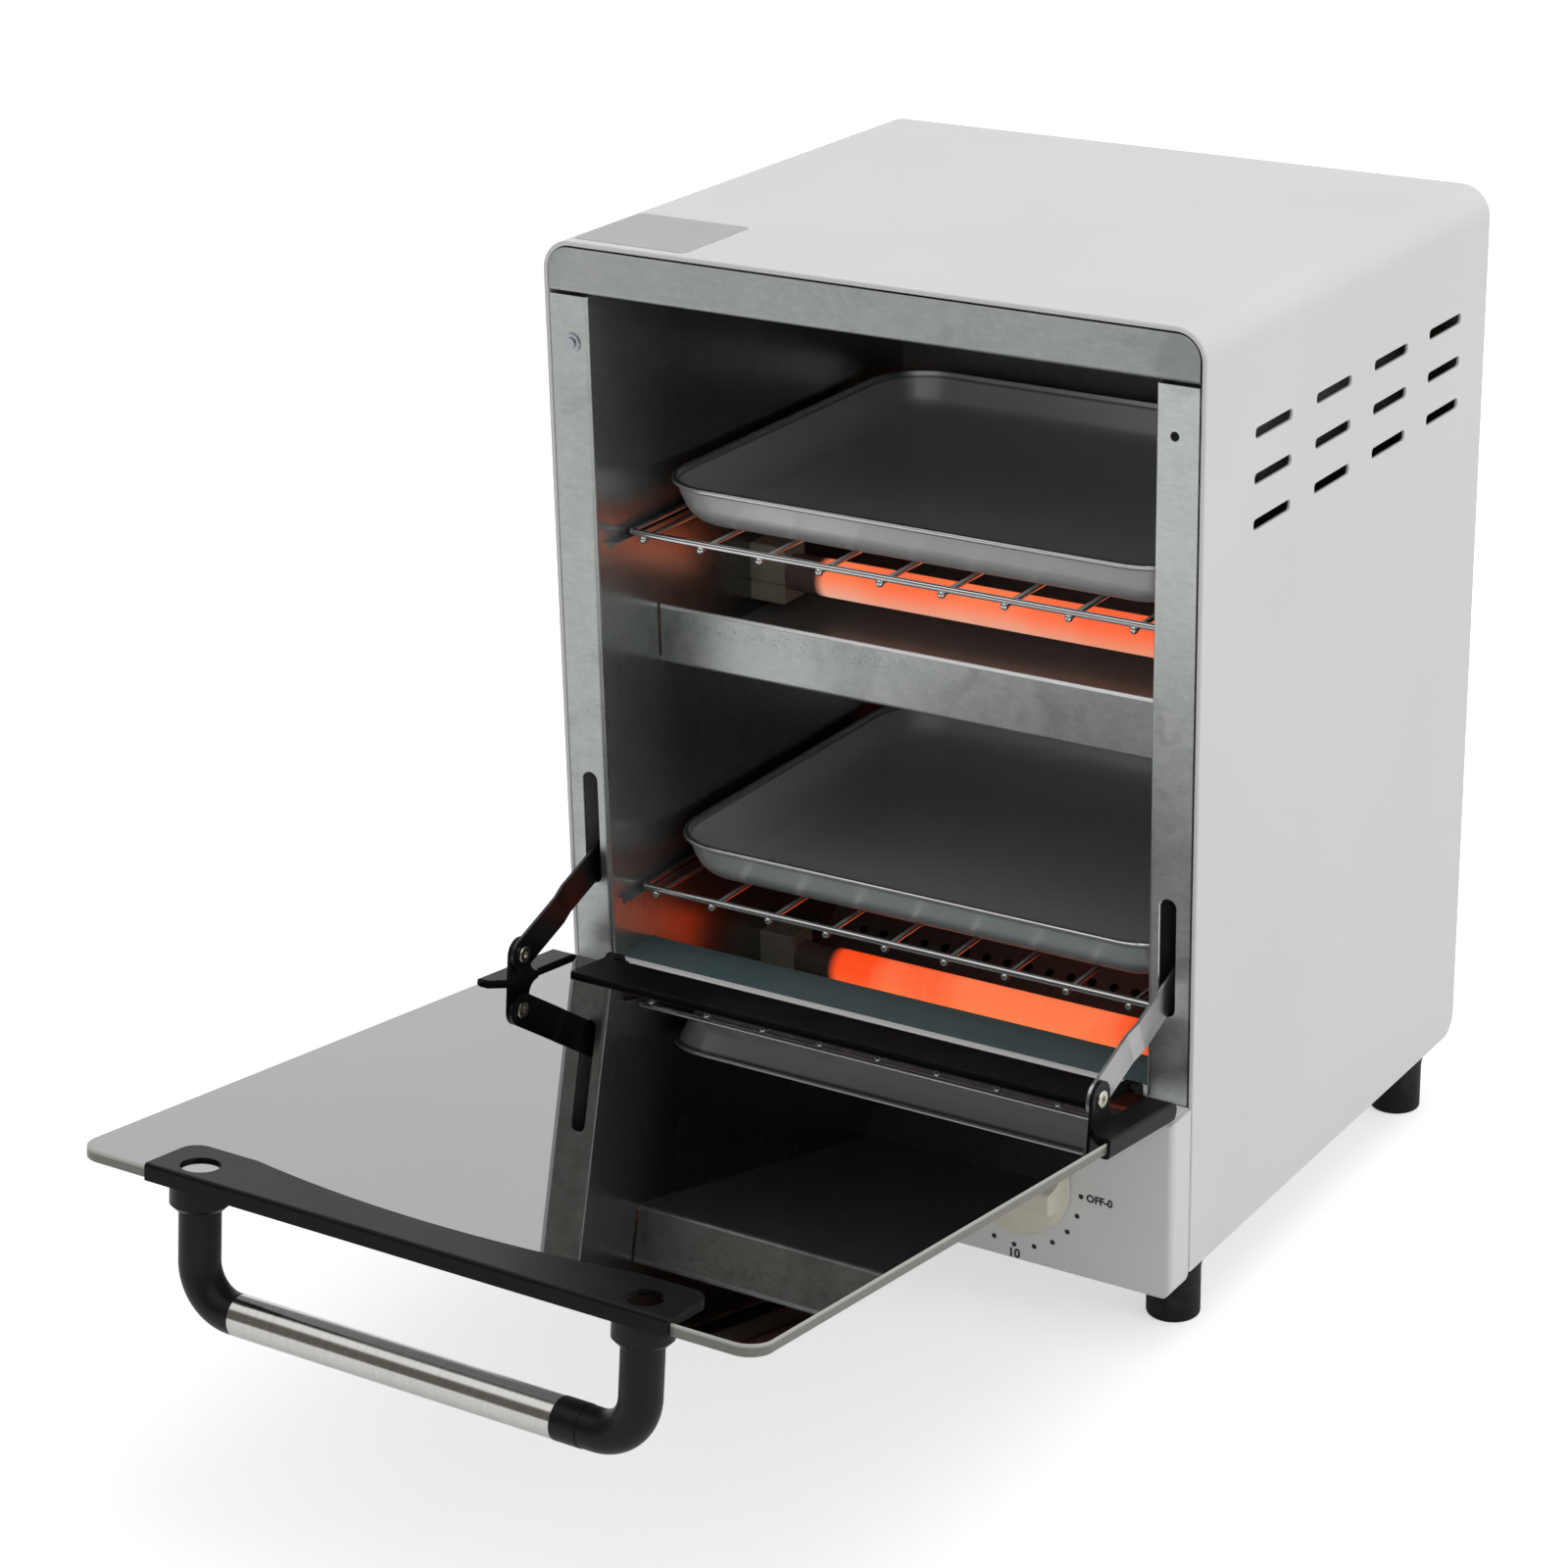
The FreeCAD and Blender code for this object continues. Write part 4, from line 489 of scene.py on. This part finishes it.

# %% [markdown]
# ## Bare steel
# The handle tube is brushed round and round, so its lines cross the bar and its highlight runs
# along it as one long band. The stay arms are plain satin strip, the racks bright chrome wire.
# The left arm is the same steel in a much darker tone, a painted shade.
# One function makes the family: the way the lines run, their pitch, their depth and the gloss
# tell them apart. The trays are pressed stainless sheet with a rolled rim, so they have a finish
# of their own, with a painted highlight on the rim and a painted shadow line just under it.

# %% Steel
RIM_BLUR, RIM_FOOT = 0.4 * MM, 1.2 * MM
SHADE_BLUR, SHADE_FOOT = 0.5 * MM, 2.1 * MM
STEEL_DEPTH = 0.04 * MM
TRAY_METAL = 0.52
TRAY_TONES = ((0.67, 0.675, 0.675, 1.0), (0.79, 0.795, 0.79, 1.0))


def steel(name, tones, gloss, spread, lines_per_metre, relief, along=1.0):
    """Bare metal with fine lines. They cross the X axis where along is large."""
    finish = Finish(name, Metallic=1.0)
    vector = finish.stretched(along, 1.0, 1.0)
    lines = finish.noise(lines_per_metre, detail=4.0, rough=0.65, vector=vector)
    haze = finish.noise(28.0, detail=4.0, rough=0.55)
    tone = finish.spread(lines * 0.6 + haze * 0.4, 0.36, 0.66)
    finish.set(Base_Color=finish.mix(tone, *tones),
               Roughness=finish.spread(lines, 0.3, 0.7, gloss, gloss + spread))
    finish.bump(lines, relief, STEEL_DEPTH)
    return finish


def tray_steel(name, rim_top):
    """Pressed stainless sheet: a soft haze, a painted highlight on the rolled rim and a painted
    shadow line under it.
    """
    finish = Finish(name)
    z = finish.xyz()[2]
    haze = finish.noise(16.0, detail=1.0, rough=0.5, vector=finish.stretched(0.6, 1.0, 1.0))
    # Painted highlight: the rolled rim is near white and fully metallic; under it a painted shadow
    # line.
    rim = finish.spread(z, rim_top - RIM_FOOT - RIM_BLUR, rim_top - RIM_FOOT)
    under = finish.spread(z, rim_top - SHADE_FOOT - SHADE_BLUR, rim_top - SHADE_FOOT) * (1 - rim)
    sheet = finish.mix(haze, *TRAY_TONES)
    finish.set(Base_Color=finish.mix(rim, finish.mix(under * 0.7, sheet, grey(0.16)), grey(0.90)),
               Metallic=TRAY_METAL + rim * (1 - TRAY_METAL), Roughness=haze * 0.12 + 0.25)
    return finish


for name, tones, gloss, spread, lines_per_metre, relief, pieces in (
        ("arm_steel", (grey(0.44), (0.54, 0.54, 0.535, 1.0)), 0.28, 0.10, 160.0, 0.06,
         ("right_stay_arm",)),
        # Painted shade: the left stay arm is the right arm's steel in a much darker tone.
        ("shaded_arm_steel", ((0.040, 0.043, 0.046, 1.0), (0.065, 0.068, 0.072, 1.0)), 0.30, 0.10, 160.0,
         0.06, ("left_stay_arm",)),
        ("rivet_steel", ((0.56, 0.53, 0.44, 1.0), (0.72, 0.69, 0.60, 1.0)), 0.16, 0.12, 400.0, 0.08,
         ("right_stay_rivet", "left_stay_rivet")),
        ("zinc", ((0.50, 0.50, 0.48, 1.0), (0.66, 0.66, 0.64, 1.0)), 0.26, 0.14, 300.0, 0.08,
         ("cover_screws", "foot_screws")),
        ("washer_steel", ((0.42, 0.45, 0.48, 1.0), (0.52, 0.55, 0.58, 1.0)), 0.30, 0.12, 300.0,
         0.06, ("pillar_rivet",)),
        ("chrome_wire", ((0.66, 0.66, 0.67, 1.0), (0.78, 0.78, 0.79, 1.0)), 0.12, 0.06, 120.0, 0.01,
         ("upper_rack", "lower_rack")),
        ("polished_cap", ((0.38, 0.375, 0.38, 1.0), (0.43, 0.425, 0.43, 1.0)), 0.03, 0.05, 200.0,
         0.02, ("handle_screws",))):
    paint(steel(name, tones, gloss, spread, lines_per_metre, relief), *pieces)
paint(steel("handle_steel", ((0.60, 0.59, 0.565, 1.0), (0.70, 0.69, 0.665, 1.0)), 0.13, 0.05, 40.0,
            0.008, along=30.0), "handle_tube")
paint(tray_steel("upper_tray_steel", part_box("upper_tray")[1].z), "upper_tray")
paint(tray_steel("lower_tray_steel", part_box("lower_tray")[1].z), "lower_tray")
print("steel pieces", sum(1 for finish_name in painted.values() if finish_name.endswith("steel")))

# %% [markdown]
# ## The hot tubes
# Each heating tube is milky quartz with a coil inside that glows orange, a little uneven along
# its length. The first centimetre at each end is cold: there the quartz is a dull grey brown. The
# glow is the emission of the same shader, faded with the distance from the middle, under the
# quartz's own gloss. The milky quartz is deep orange on top and paler below, where the light of
# the room gets into it. Next to the studio's light the glow is far too weak to colour a matt
# surface, so only mirrors and polished sheet get to see the tubes.

# %% Heating tubes and their holders
GLOW_FADE = 4.0 * MM
PALE_FROM, PALE_TO = 3.0 * MM, -5.5 * MM
HOT_SPOT = (1.0, 0.20, 0.075, 1.0)
COLD_QUARTZ, LIT_QUARTZ = (0.20, 0.15, 0.14, 1.0), (0.10, 0.02, 0.01, 1.0)
CERAMIC_TONES = ((0.37, 0.355, 0.28, 1.0), (0.50, 0.48, 0.39, 1.0))


def hot_quartz(name, glow_end, tube_box, above, below, pale):
    """The glow ends at |x| = glow_end; its colour goes from above the tube's axis to below it."""
    finish = Finish(name, IOR=1.46, Coat_Roughness=0.08, Coat_Weight=0.5, Emission_Strength=1.0)
    x, _, z = finish.xyz()
    lowest, highest = tube_box
    middle_z = (lowest.z + highest.z) / 2
    lit = finish.spread(abs(x), glow_end, glow_end - GLOW_FADE)
    uneven = finish.noise(26.0, detail=1.0, vector=finish.stretched(1.0, 0.5, 0.5))
    turns = finish.noise(520.0, detail=1.0, vector=finish.stretched(1.0, 0.02, 0.02))
    tone = finish.spread(uneven * 0.94 + turns * 0.06, 0.40, 0.62)
    low = finish.spread(z, middle_z + PALE_FROM, middle_z + PALE_TO)
    fire = finish.mix(low, finish.mix(tone, above, HOT_SPOT), finish.mix(tone, below, pale))
    finish.set(Emission_Color=finish.mix(lit, grey(0.0), fire),
               Base_Color=finish.mix(lit, COLD_QUARTZ, LIT_QUARTZ),
               Roughness=finish.spread(uneven, 0.3, 0.7, 0.22, 0.32))
    return finish


def ceramic():
    finish = Finish("holder_ceramic", IOR=1.5)
    speck = finish.noise(900.0, detail=3.0, rough=0.7)
    cloud = finish.noise(120.0, detail=4.0)
    tone = finish.spread(speck * 0.5 + cloud * 0.5, 0.38, 0.64)
    finish.set(Base_Color=finish.mix(tone, *CERAMIC_TONES),
               Roughness=finish.spread(speck, 0.3, 0.7, 0.62, 0.82))
    finish.bump(speck, 0.30, 0.15 * MM)
    return finish


paint(hot_quartz("upper_glow", 80.5 * MM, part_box("upper_heater_tube"), (1.00, 0.135, 0.045, 1.0),
                 (0.86, 0.32, 0.19, 1.0), (0.82, 0.43, 0.31, 1.0)), "upper_heater_tube")
paint(hot_quartz("lower_glow", 78.0 * MM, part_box("lower_heater_tube"), (0.98, 0.075, 0.014, 1.0),
                 (1.00, 0.125, 0.030, 1.0), (0.98, 0.235, 0.075, 1.0)), "lower_heater_tube")
paint(ceramic(), "right_upper_heater_holder", "left_upper_heater_holder",
      "right_lower_heater_holder", "left_lower_heater_holder")
for name in ("upper_heater_tube", "lower_heater_tube"):
    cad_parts[name].visible_diffuse = False
    print(name, "shown to mirrors only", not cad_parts[name].visible_diffuse)

# %% [markdown]
# ## Knobs, lamp, label and insulation
# The knobs are cream plastic, warm and smooth. The lamp has an amber lens in a cap. The label on
# top is a plain silver film. The boards over the roof and behind the chamber are pressed mineral
# wool, all short fibres.

# %% Small finishes
AMBER_TONES = ((0.52, 0.14, 0.015, 1.0), (0.74, 0.26, 0.03, 1.0))
LABEL_TONES = ((0.385, 0.385, 0.41, 1.0), (0.425, 0.425, 0.45, 1.0))
WOOL_TONES = ((0.42, 0.37, 0.24, 1.0), (0.70, 0.65, 0.50, 1.0))
CREAM_TONES = ((0.70, 0.66, 0.555, 1.0), (0.745, 0.705, 0.60, 1.0))


def amber_lens():
    finish = Finish("amber_lens", IOR=1.49, Coat_Weight=0.4, Coat_Roughness=0.05)
    ripple = finish.noise(900.0, detail=2.0)
    finish.set(Base_Color=finish.mix(finish.spread(ripple, 0.35, 0.65), *AMBER_TONES),
               Roughness=finish.spread(ripple, 0.3, 0.7, 0.10, 0.18))
    finish.bump(ripple, 0.15, 0.1 * MM)
    return finish


def label_film():
    finish = Finish("label_film", IOR=1.5)
    grain = finish.noise(800.0, detail=2.0, vector=finish.stretched(0.06, 1.0, 1.0))
    haze = finish.noise(30.0, detail=4.0)
    tone = finish.spread(grain * 0.4 + haze * 0.6, 0.38, 0.64)
    finish.set(Base_Color=finish.mix(tone, *LABEL_TONES),
               Roughness=finish.spread(grain, 0.3, 0.7, 0.26, 0.36))
    finish.bump(grain, 0.06, 0.03 * MM)
    return finish


def mineral_wool():
    finish = Finish("mineral_wool", IOR=1.4)
    fibres = finish.noise(520.0, detail=5.0, rough=0.7, vector=finish.stretched(0.25, 1.0, 1.0),
                          distortion=2.0)
    clumps = finish.noise(80.0, detail=4.0)
    tone = finish.spread(fibres * 0.6 + clumps * 0.4, 0.35, 0.66)
    finish.set(Base_Color=finish.mix(tone, *WOOL_TONES),
               Roughness=finish.spread(fibres, 0.3, 0.7, 0.85, 0.97))
    finish.bump(fibres, 0.6, 0.5 * MM)
    return finish


paint(moulded_plastic("cream_plastic", CREAM_TONES, 0.30, 1500.0), "timer_knob", "thermostat_knob")
paint(amber_lens(), "indicator_lamp")
paint(label_film(), "label_plate")
paint(mineral_wool(), "roof_board", "back_board")
print("nodes without a finish", sorted(set(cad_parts) - set(painted)))

# %% [markdown]
# ## What is printed on the panel
# Round each knob runs a ring of dots, with a number at every fifth dot of the timer: minutes,
# from OFF-0. Ink has almost no thickness, but a mesh needs some, so each mark is a flat disc or
# letter a few hundredths of a millimetre proud of the coat. The letters start as text, become a
# mesh, and only then go to their place, because a text object's own scale would stay on it.

# %% Ink and lettering
PANEL_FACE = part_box("control_panel")[0].y
INK_THICKNESS = 0.05 * MM
KNOB_X = 65.0 * MM
KNOB_Z = 51.4 * MM
DIAL_RADIUS = 25.7 * MM
DOT_RADIUS = 0.95 * MM
DOT_SIDES = 24
DIAL_START = math.radians(-1.7)
DIAL_STEP = math.radians(-17.67)
DIAL_DOTS = 16
CAPITALS = 0.70
BOLDNESS = 0.16 * MM
CURVE_STEPS = 3


def ink():
    finish = Finish("ink", IOR=1.45)
    grain = finish.noise(2500.0, detail=3.0)
    finish.set(Base_Color=finish.mix(finish.spread(grain, 0.4, 0.6), grey(0.012), grey(0.022)),
               Roughness=finish.spread(grain, 0.3, 0.7, 0.45, 0.6))
    return finish.material


ink_material = ink()


def on_panel(x, z):
    """Lays a flat mark, drawn in X and Y, upright on the panel's face with its middle at (x, z)."""
    return Matrix.Translation((x, PANEL_FACE, z)) @ Matrix.Rotation(math.pi / 2, 4, "X")


def add_dot(mesh, x, z):
    made = bmesh.ops.create_circle(mesh, cap_ends=True, segments=DOT_SIDES, radius=DOT_RADIUS,
                                   matrix=on_panel(x, z))
    face = made["verts"][0].link_faces[0]
    raised = bmesh.ops.extrude_face_region(mesh, geom=[face])
    top = [item for item in raised["geom"] if isinstance(item, bmesh.types.BMVert)]
    bmesh.ops.translate(mesh, verts=top, vec=(0, -INK_THICKNESS, 0))


def add_word(mesh, word, x, z, height, align):
    """Adds a word whose letters are as tall as height, set left, middle or right of x."""
    curve = bpy.data.curves.new(word, "FONT")
    curve.body = word
    curve.align_x = align
    curve.align_y = "CENTER"
    curve.size = height / CAPITALS
    curve.extrude = INK_THICKNESS
    curve.offset = BOLDNESS
    curve.resolution_u = CURVE_STEPS
    holder = bpy.data.objects.new(word, curve)
    letters = bpy.data.meshes.new_from_object(holder)
    letters.transform(on_panel(x, z))
    mesh.from_mesh(letters)
    bpy.data.objects.remove(holder)
    bpy.data.curves.remove(curve)
    bpy.data.meshes.remove(letters)


def finish_piece(name, mesh, material, body):
    """Turns a bmesh into an object at the origin that rides on a CAD body."""
    bmesh.ops.recalc_face_normals(mesh, faces=mesh.faces)
    data = bpy.data.meshes.new(name)
    mesh.to_mesh(data)
    mesh.free()
    data.materials.append(material)
    piece = bpy.data.objects.new(name, data)
    bpy.context.scene.collection.objects.link(piece)
    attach(piece, body)
    print(name, "faces", len(data.polygons))


# %% [markdown]
# ## The two scales
# Both scales have the same four places for a word: beside the first dot, then at every fifth dot.
# A word beside the ring is set left or right and stands close to it. A word above or below is
# centred and needs more room.

# %% Timer and thermostat scales
BESIDE, BEYOND = 2.0 * MM, 3.4 * MM
OFF_HEIGHT, NUMBER_HEIGHT = 2.7 * MM, 3.3 * MM
WORD_PLACES = ((0, BESIDE, OFF_HEIGHT, "LEFT"), (5, BEYOND, NUMBER_HEIGHT, "CENTER"),
               (10, BESIDE, NUMBER_HEIGHT, "RIGHT"), (15, BEYOND, NUMBER_HEIGHT, "CENTER"))


def on_ring(knob_x, dot, radius):
    """The place on the panel of a dot, or of a point further out."""
    angle = DIAL_START + dot * DIAL_STEP
    return knob_x + radius * math.cos(angle), KNOB_Z + radius * math.sin(angle)


def dial_scale(name, knob_x, words):
    mesh = bmesh.new()
    for dot in range(DIAL_DOTS):
        add_dot(mesh, *on_ring(knob_x, dot, DIAL_RADIUS))
    for word, (dot, out, height, align) in zip(words, WORD_PLACES):
        add_word(mesh, word, *on_ring(knob_x, dot, DIAL_RADIUS + out), height, align)
    finish_piece(name, mesh, ink_material, "cabinet")


dial_scale("timer_scale", KNOB_X, ("OFF-0", "10", "20", "30"))
dial_scale("thermostat_scale", -KNOB_X, ("OFF", "100", "150", "200"))

# %% [markdown]
# ## The studio
# A pale floor, a white world and two large soft lamps. Camera and mirrors see the world as white,
# while it lights the oven with less than that, so the powder coat keeps its own tone. The floor is
# plain near the oven, where its shadow falls, and fades to white further out. A glow that lights
# nothing lifts it: the camera sees all of it, mirrors a part. What mirrors see low in front,
# behind the camera, is a dark room: it draws the brown band along the handle and keeps the black
# parts black. The lamp over the oven makes the top the lightest side, the right side comes next,
# and the front stays in gentle shade.

# %% World, floor and lamps
WORLD_LIGHT = 0.62
DARK_ROOM = (0.14, 0.13, 0.115, 1.0)
IN_FRONT_FROM, IN_FRONT_TO = 0.05, -0.25
LOW_FROM, LOW_TO = 0.68, 0.58
FLOOR_RADIUS, FLOOR_SIDES = 9.0, 96
FLOOR_TONE = 0.80
FLOOR_NEAR = 0.30
FLOOR_FAR = 0.80
FLOOR_LIFT_NEAR = 0.54
FLOOR_LIFT_FAR = 0.80
FLOOR_IN_MIRRORS = 0.35


def ramp(tree, value, low, high):
    """Is 0 up to low and 1 from high on."""
    node = tree.nodes.new("ShaderNodeMapRange")
    feed(tree, node.inputs["Value"], value)
    node.inputs["From Min"].default_value = low
    node.inputs["From Max"].default_value = high
    return Socket(tree, node.outputs[0])


def what_sees(tree, in_mirrors):
    """Is 1 for what the camera sees, also through glass, and in_mirrors for what mirrors see."""
    path = tree.nodes.new("ShaderNodeLightPath")
    glossy = Socket(tree, path.outputs["Is Glossy Ray"])
    seen = glossy * in_mirrors
    for name in ("Is Camera Ray", "Is Transmission Ray"):
        seen = seen.maths("MAXIMUM", seen, Socket(tree, path.outputs[name]))
    return seen, glossy


def studio_world():
    world = bpy.data.worlds.new("studio")
    world.use_nodes = True
    tree = world.node_tree
    background = tree.nodes["Background"]
    seen, glossy = what_sees(tree, 1.0)
    direction = tree.nodes.new("ShaderNodeTexCoord")
    split = tree.nodes.new("ShaderNodeSeparateXYZ")
    tree.links.new(direction.outputs["Generated"], split.inputs[0])
    in_front = ramp(tree, Socket(tree, split.outputs["Y"]), IN_FRONT_FROM, IN_FRONT_TO)
    low = ramp(tree, Socket(tree, split.outputs["Z"]), LOW_FROM, LOW_TO)
    tint = tree.nodes.new("ShaderNodeMix")
    tint.data_type = "RGBA"
    feed(tree, tint.inputs[0], glossy * in_front * low)
    tint.inputs[6].default_value = grey(1.0)
    tint.inputs[7].default_value = DARK_ROOM
    tree.links.new(tint.outputs[2], background.inputs["Color"])
    feed(tree, background.inputs["Strength"], seen * (1 - WORLD_LIGHT) + WORLD_LIGHT)
    bpy.context.scene.world = world


def studio_floor():
    mesh = bmesh.new()
    bmesh.ops.create_circle(mesh, cap_ends=True, segments=FLOOR_SIDES, radius=FLOOR_RADIUS)
    data = bpy.data.meshes.new("floor")
    mesh.to_mesh(data)
    mesh.free()
    finish = Finish("floor")
    tree = finish.tree
    tree.nodes.remove(finish.shader)
    far = finish.node("ShaderNodeVectorMath", {"operation": "LENGTH"}, {0: finish.place},
                      out="Value")
    diffuse = tree.nodes.new("ShaderNodeBsdfDiffuse")
    diffuse.inputs["Color"].default_value = grey(FLOOR_TONE)
    lift = tree.nodes.new("ShaderNodeEmission")
    fade = finish.spread(far, FLOOR_NEAR, FLOOR_FAR)
    feed(tree, lift.inputs["Color"], finish.mix(fade, grey(FLOOR_LIFT_NEAR), grey(FLOOR_LIFT_FAR)))
    feed(tree, lift.inputs["Strength"], what_sees(tree, FLOOR_IN_MIRRORS)[0])
    both = tree.nodes.new("ShaderNodeAddShader")
    tree.links.new(diffuse.outputs[0], both.inputs[0])
    tree.links.new(lift.outputs[0], both.inputs[1])
    tree.links.new(both.outputs[0], tree.nodes["Material Output"].inputs["Surface"])
    data.materials.append(finish.material)
    floor = bpy.data.objects.new("floor", data)
    bpy.context.scene.collection.objects.link(floor)


def soft_lamp(name, place, target, size, power):
    data = bpy.data.lights.new(name, "AREA")
    data.shape = "SQUARE"
    data.size = size
    data.energy = power
    lamp = bpy.data.objects.new(name, data)
    aim = (Vector(target) - Vector(place)).to_track_quat("-Z", "Y")
    lamp.matrix_world = Matrix.Translation(place) @ aim.to_matrix().to_4x4()
    bpy.context.scene.collection.objects.link(lamp)
    print(name, power, "W")


studio_world()
studio_floor()
soft_lamp("lamp_above", (0.3, 0.5, 2.6), (0.0, 0.1, 0.3), 1.8, 12.0)
soft_lamp("lamp_right", (2.6, 0.2, 1.3), (0.0, 0.1, 0.2), 1.6, 12.0)

# %% [markdown]
# The dressed model may not grow beyond the CAD model.
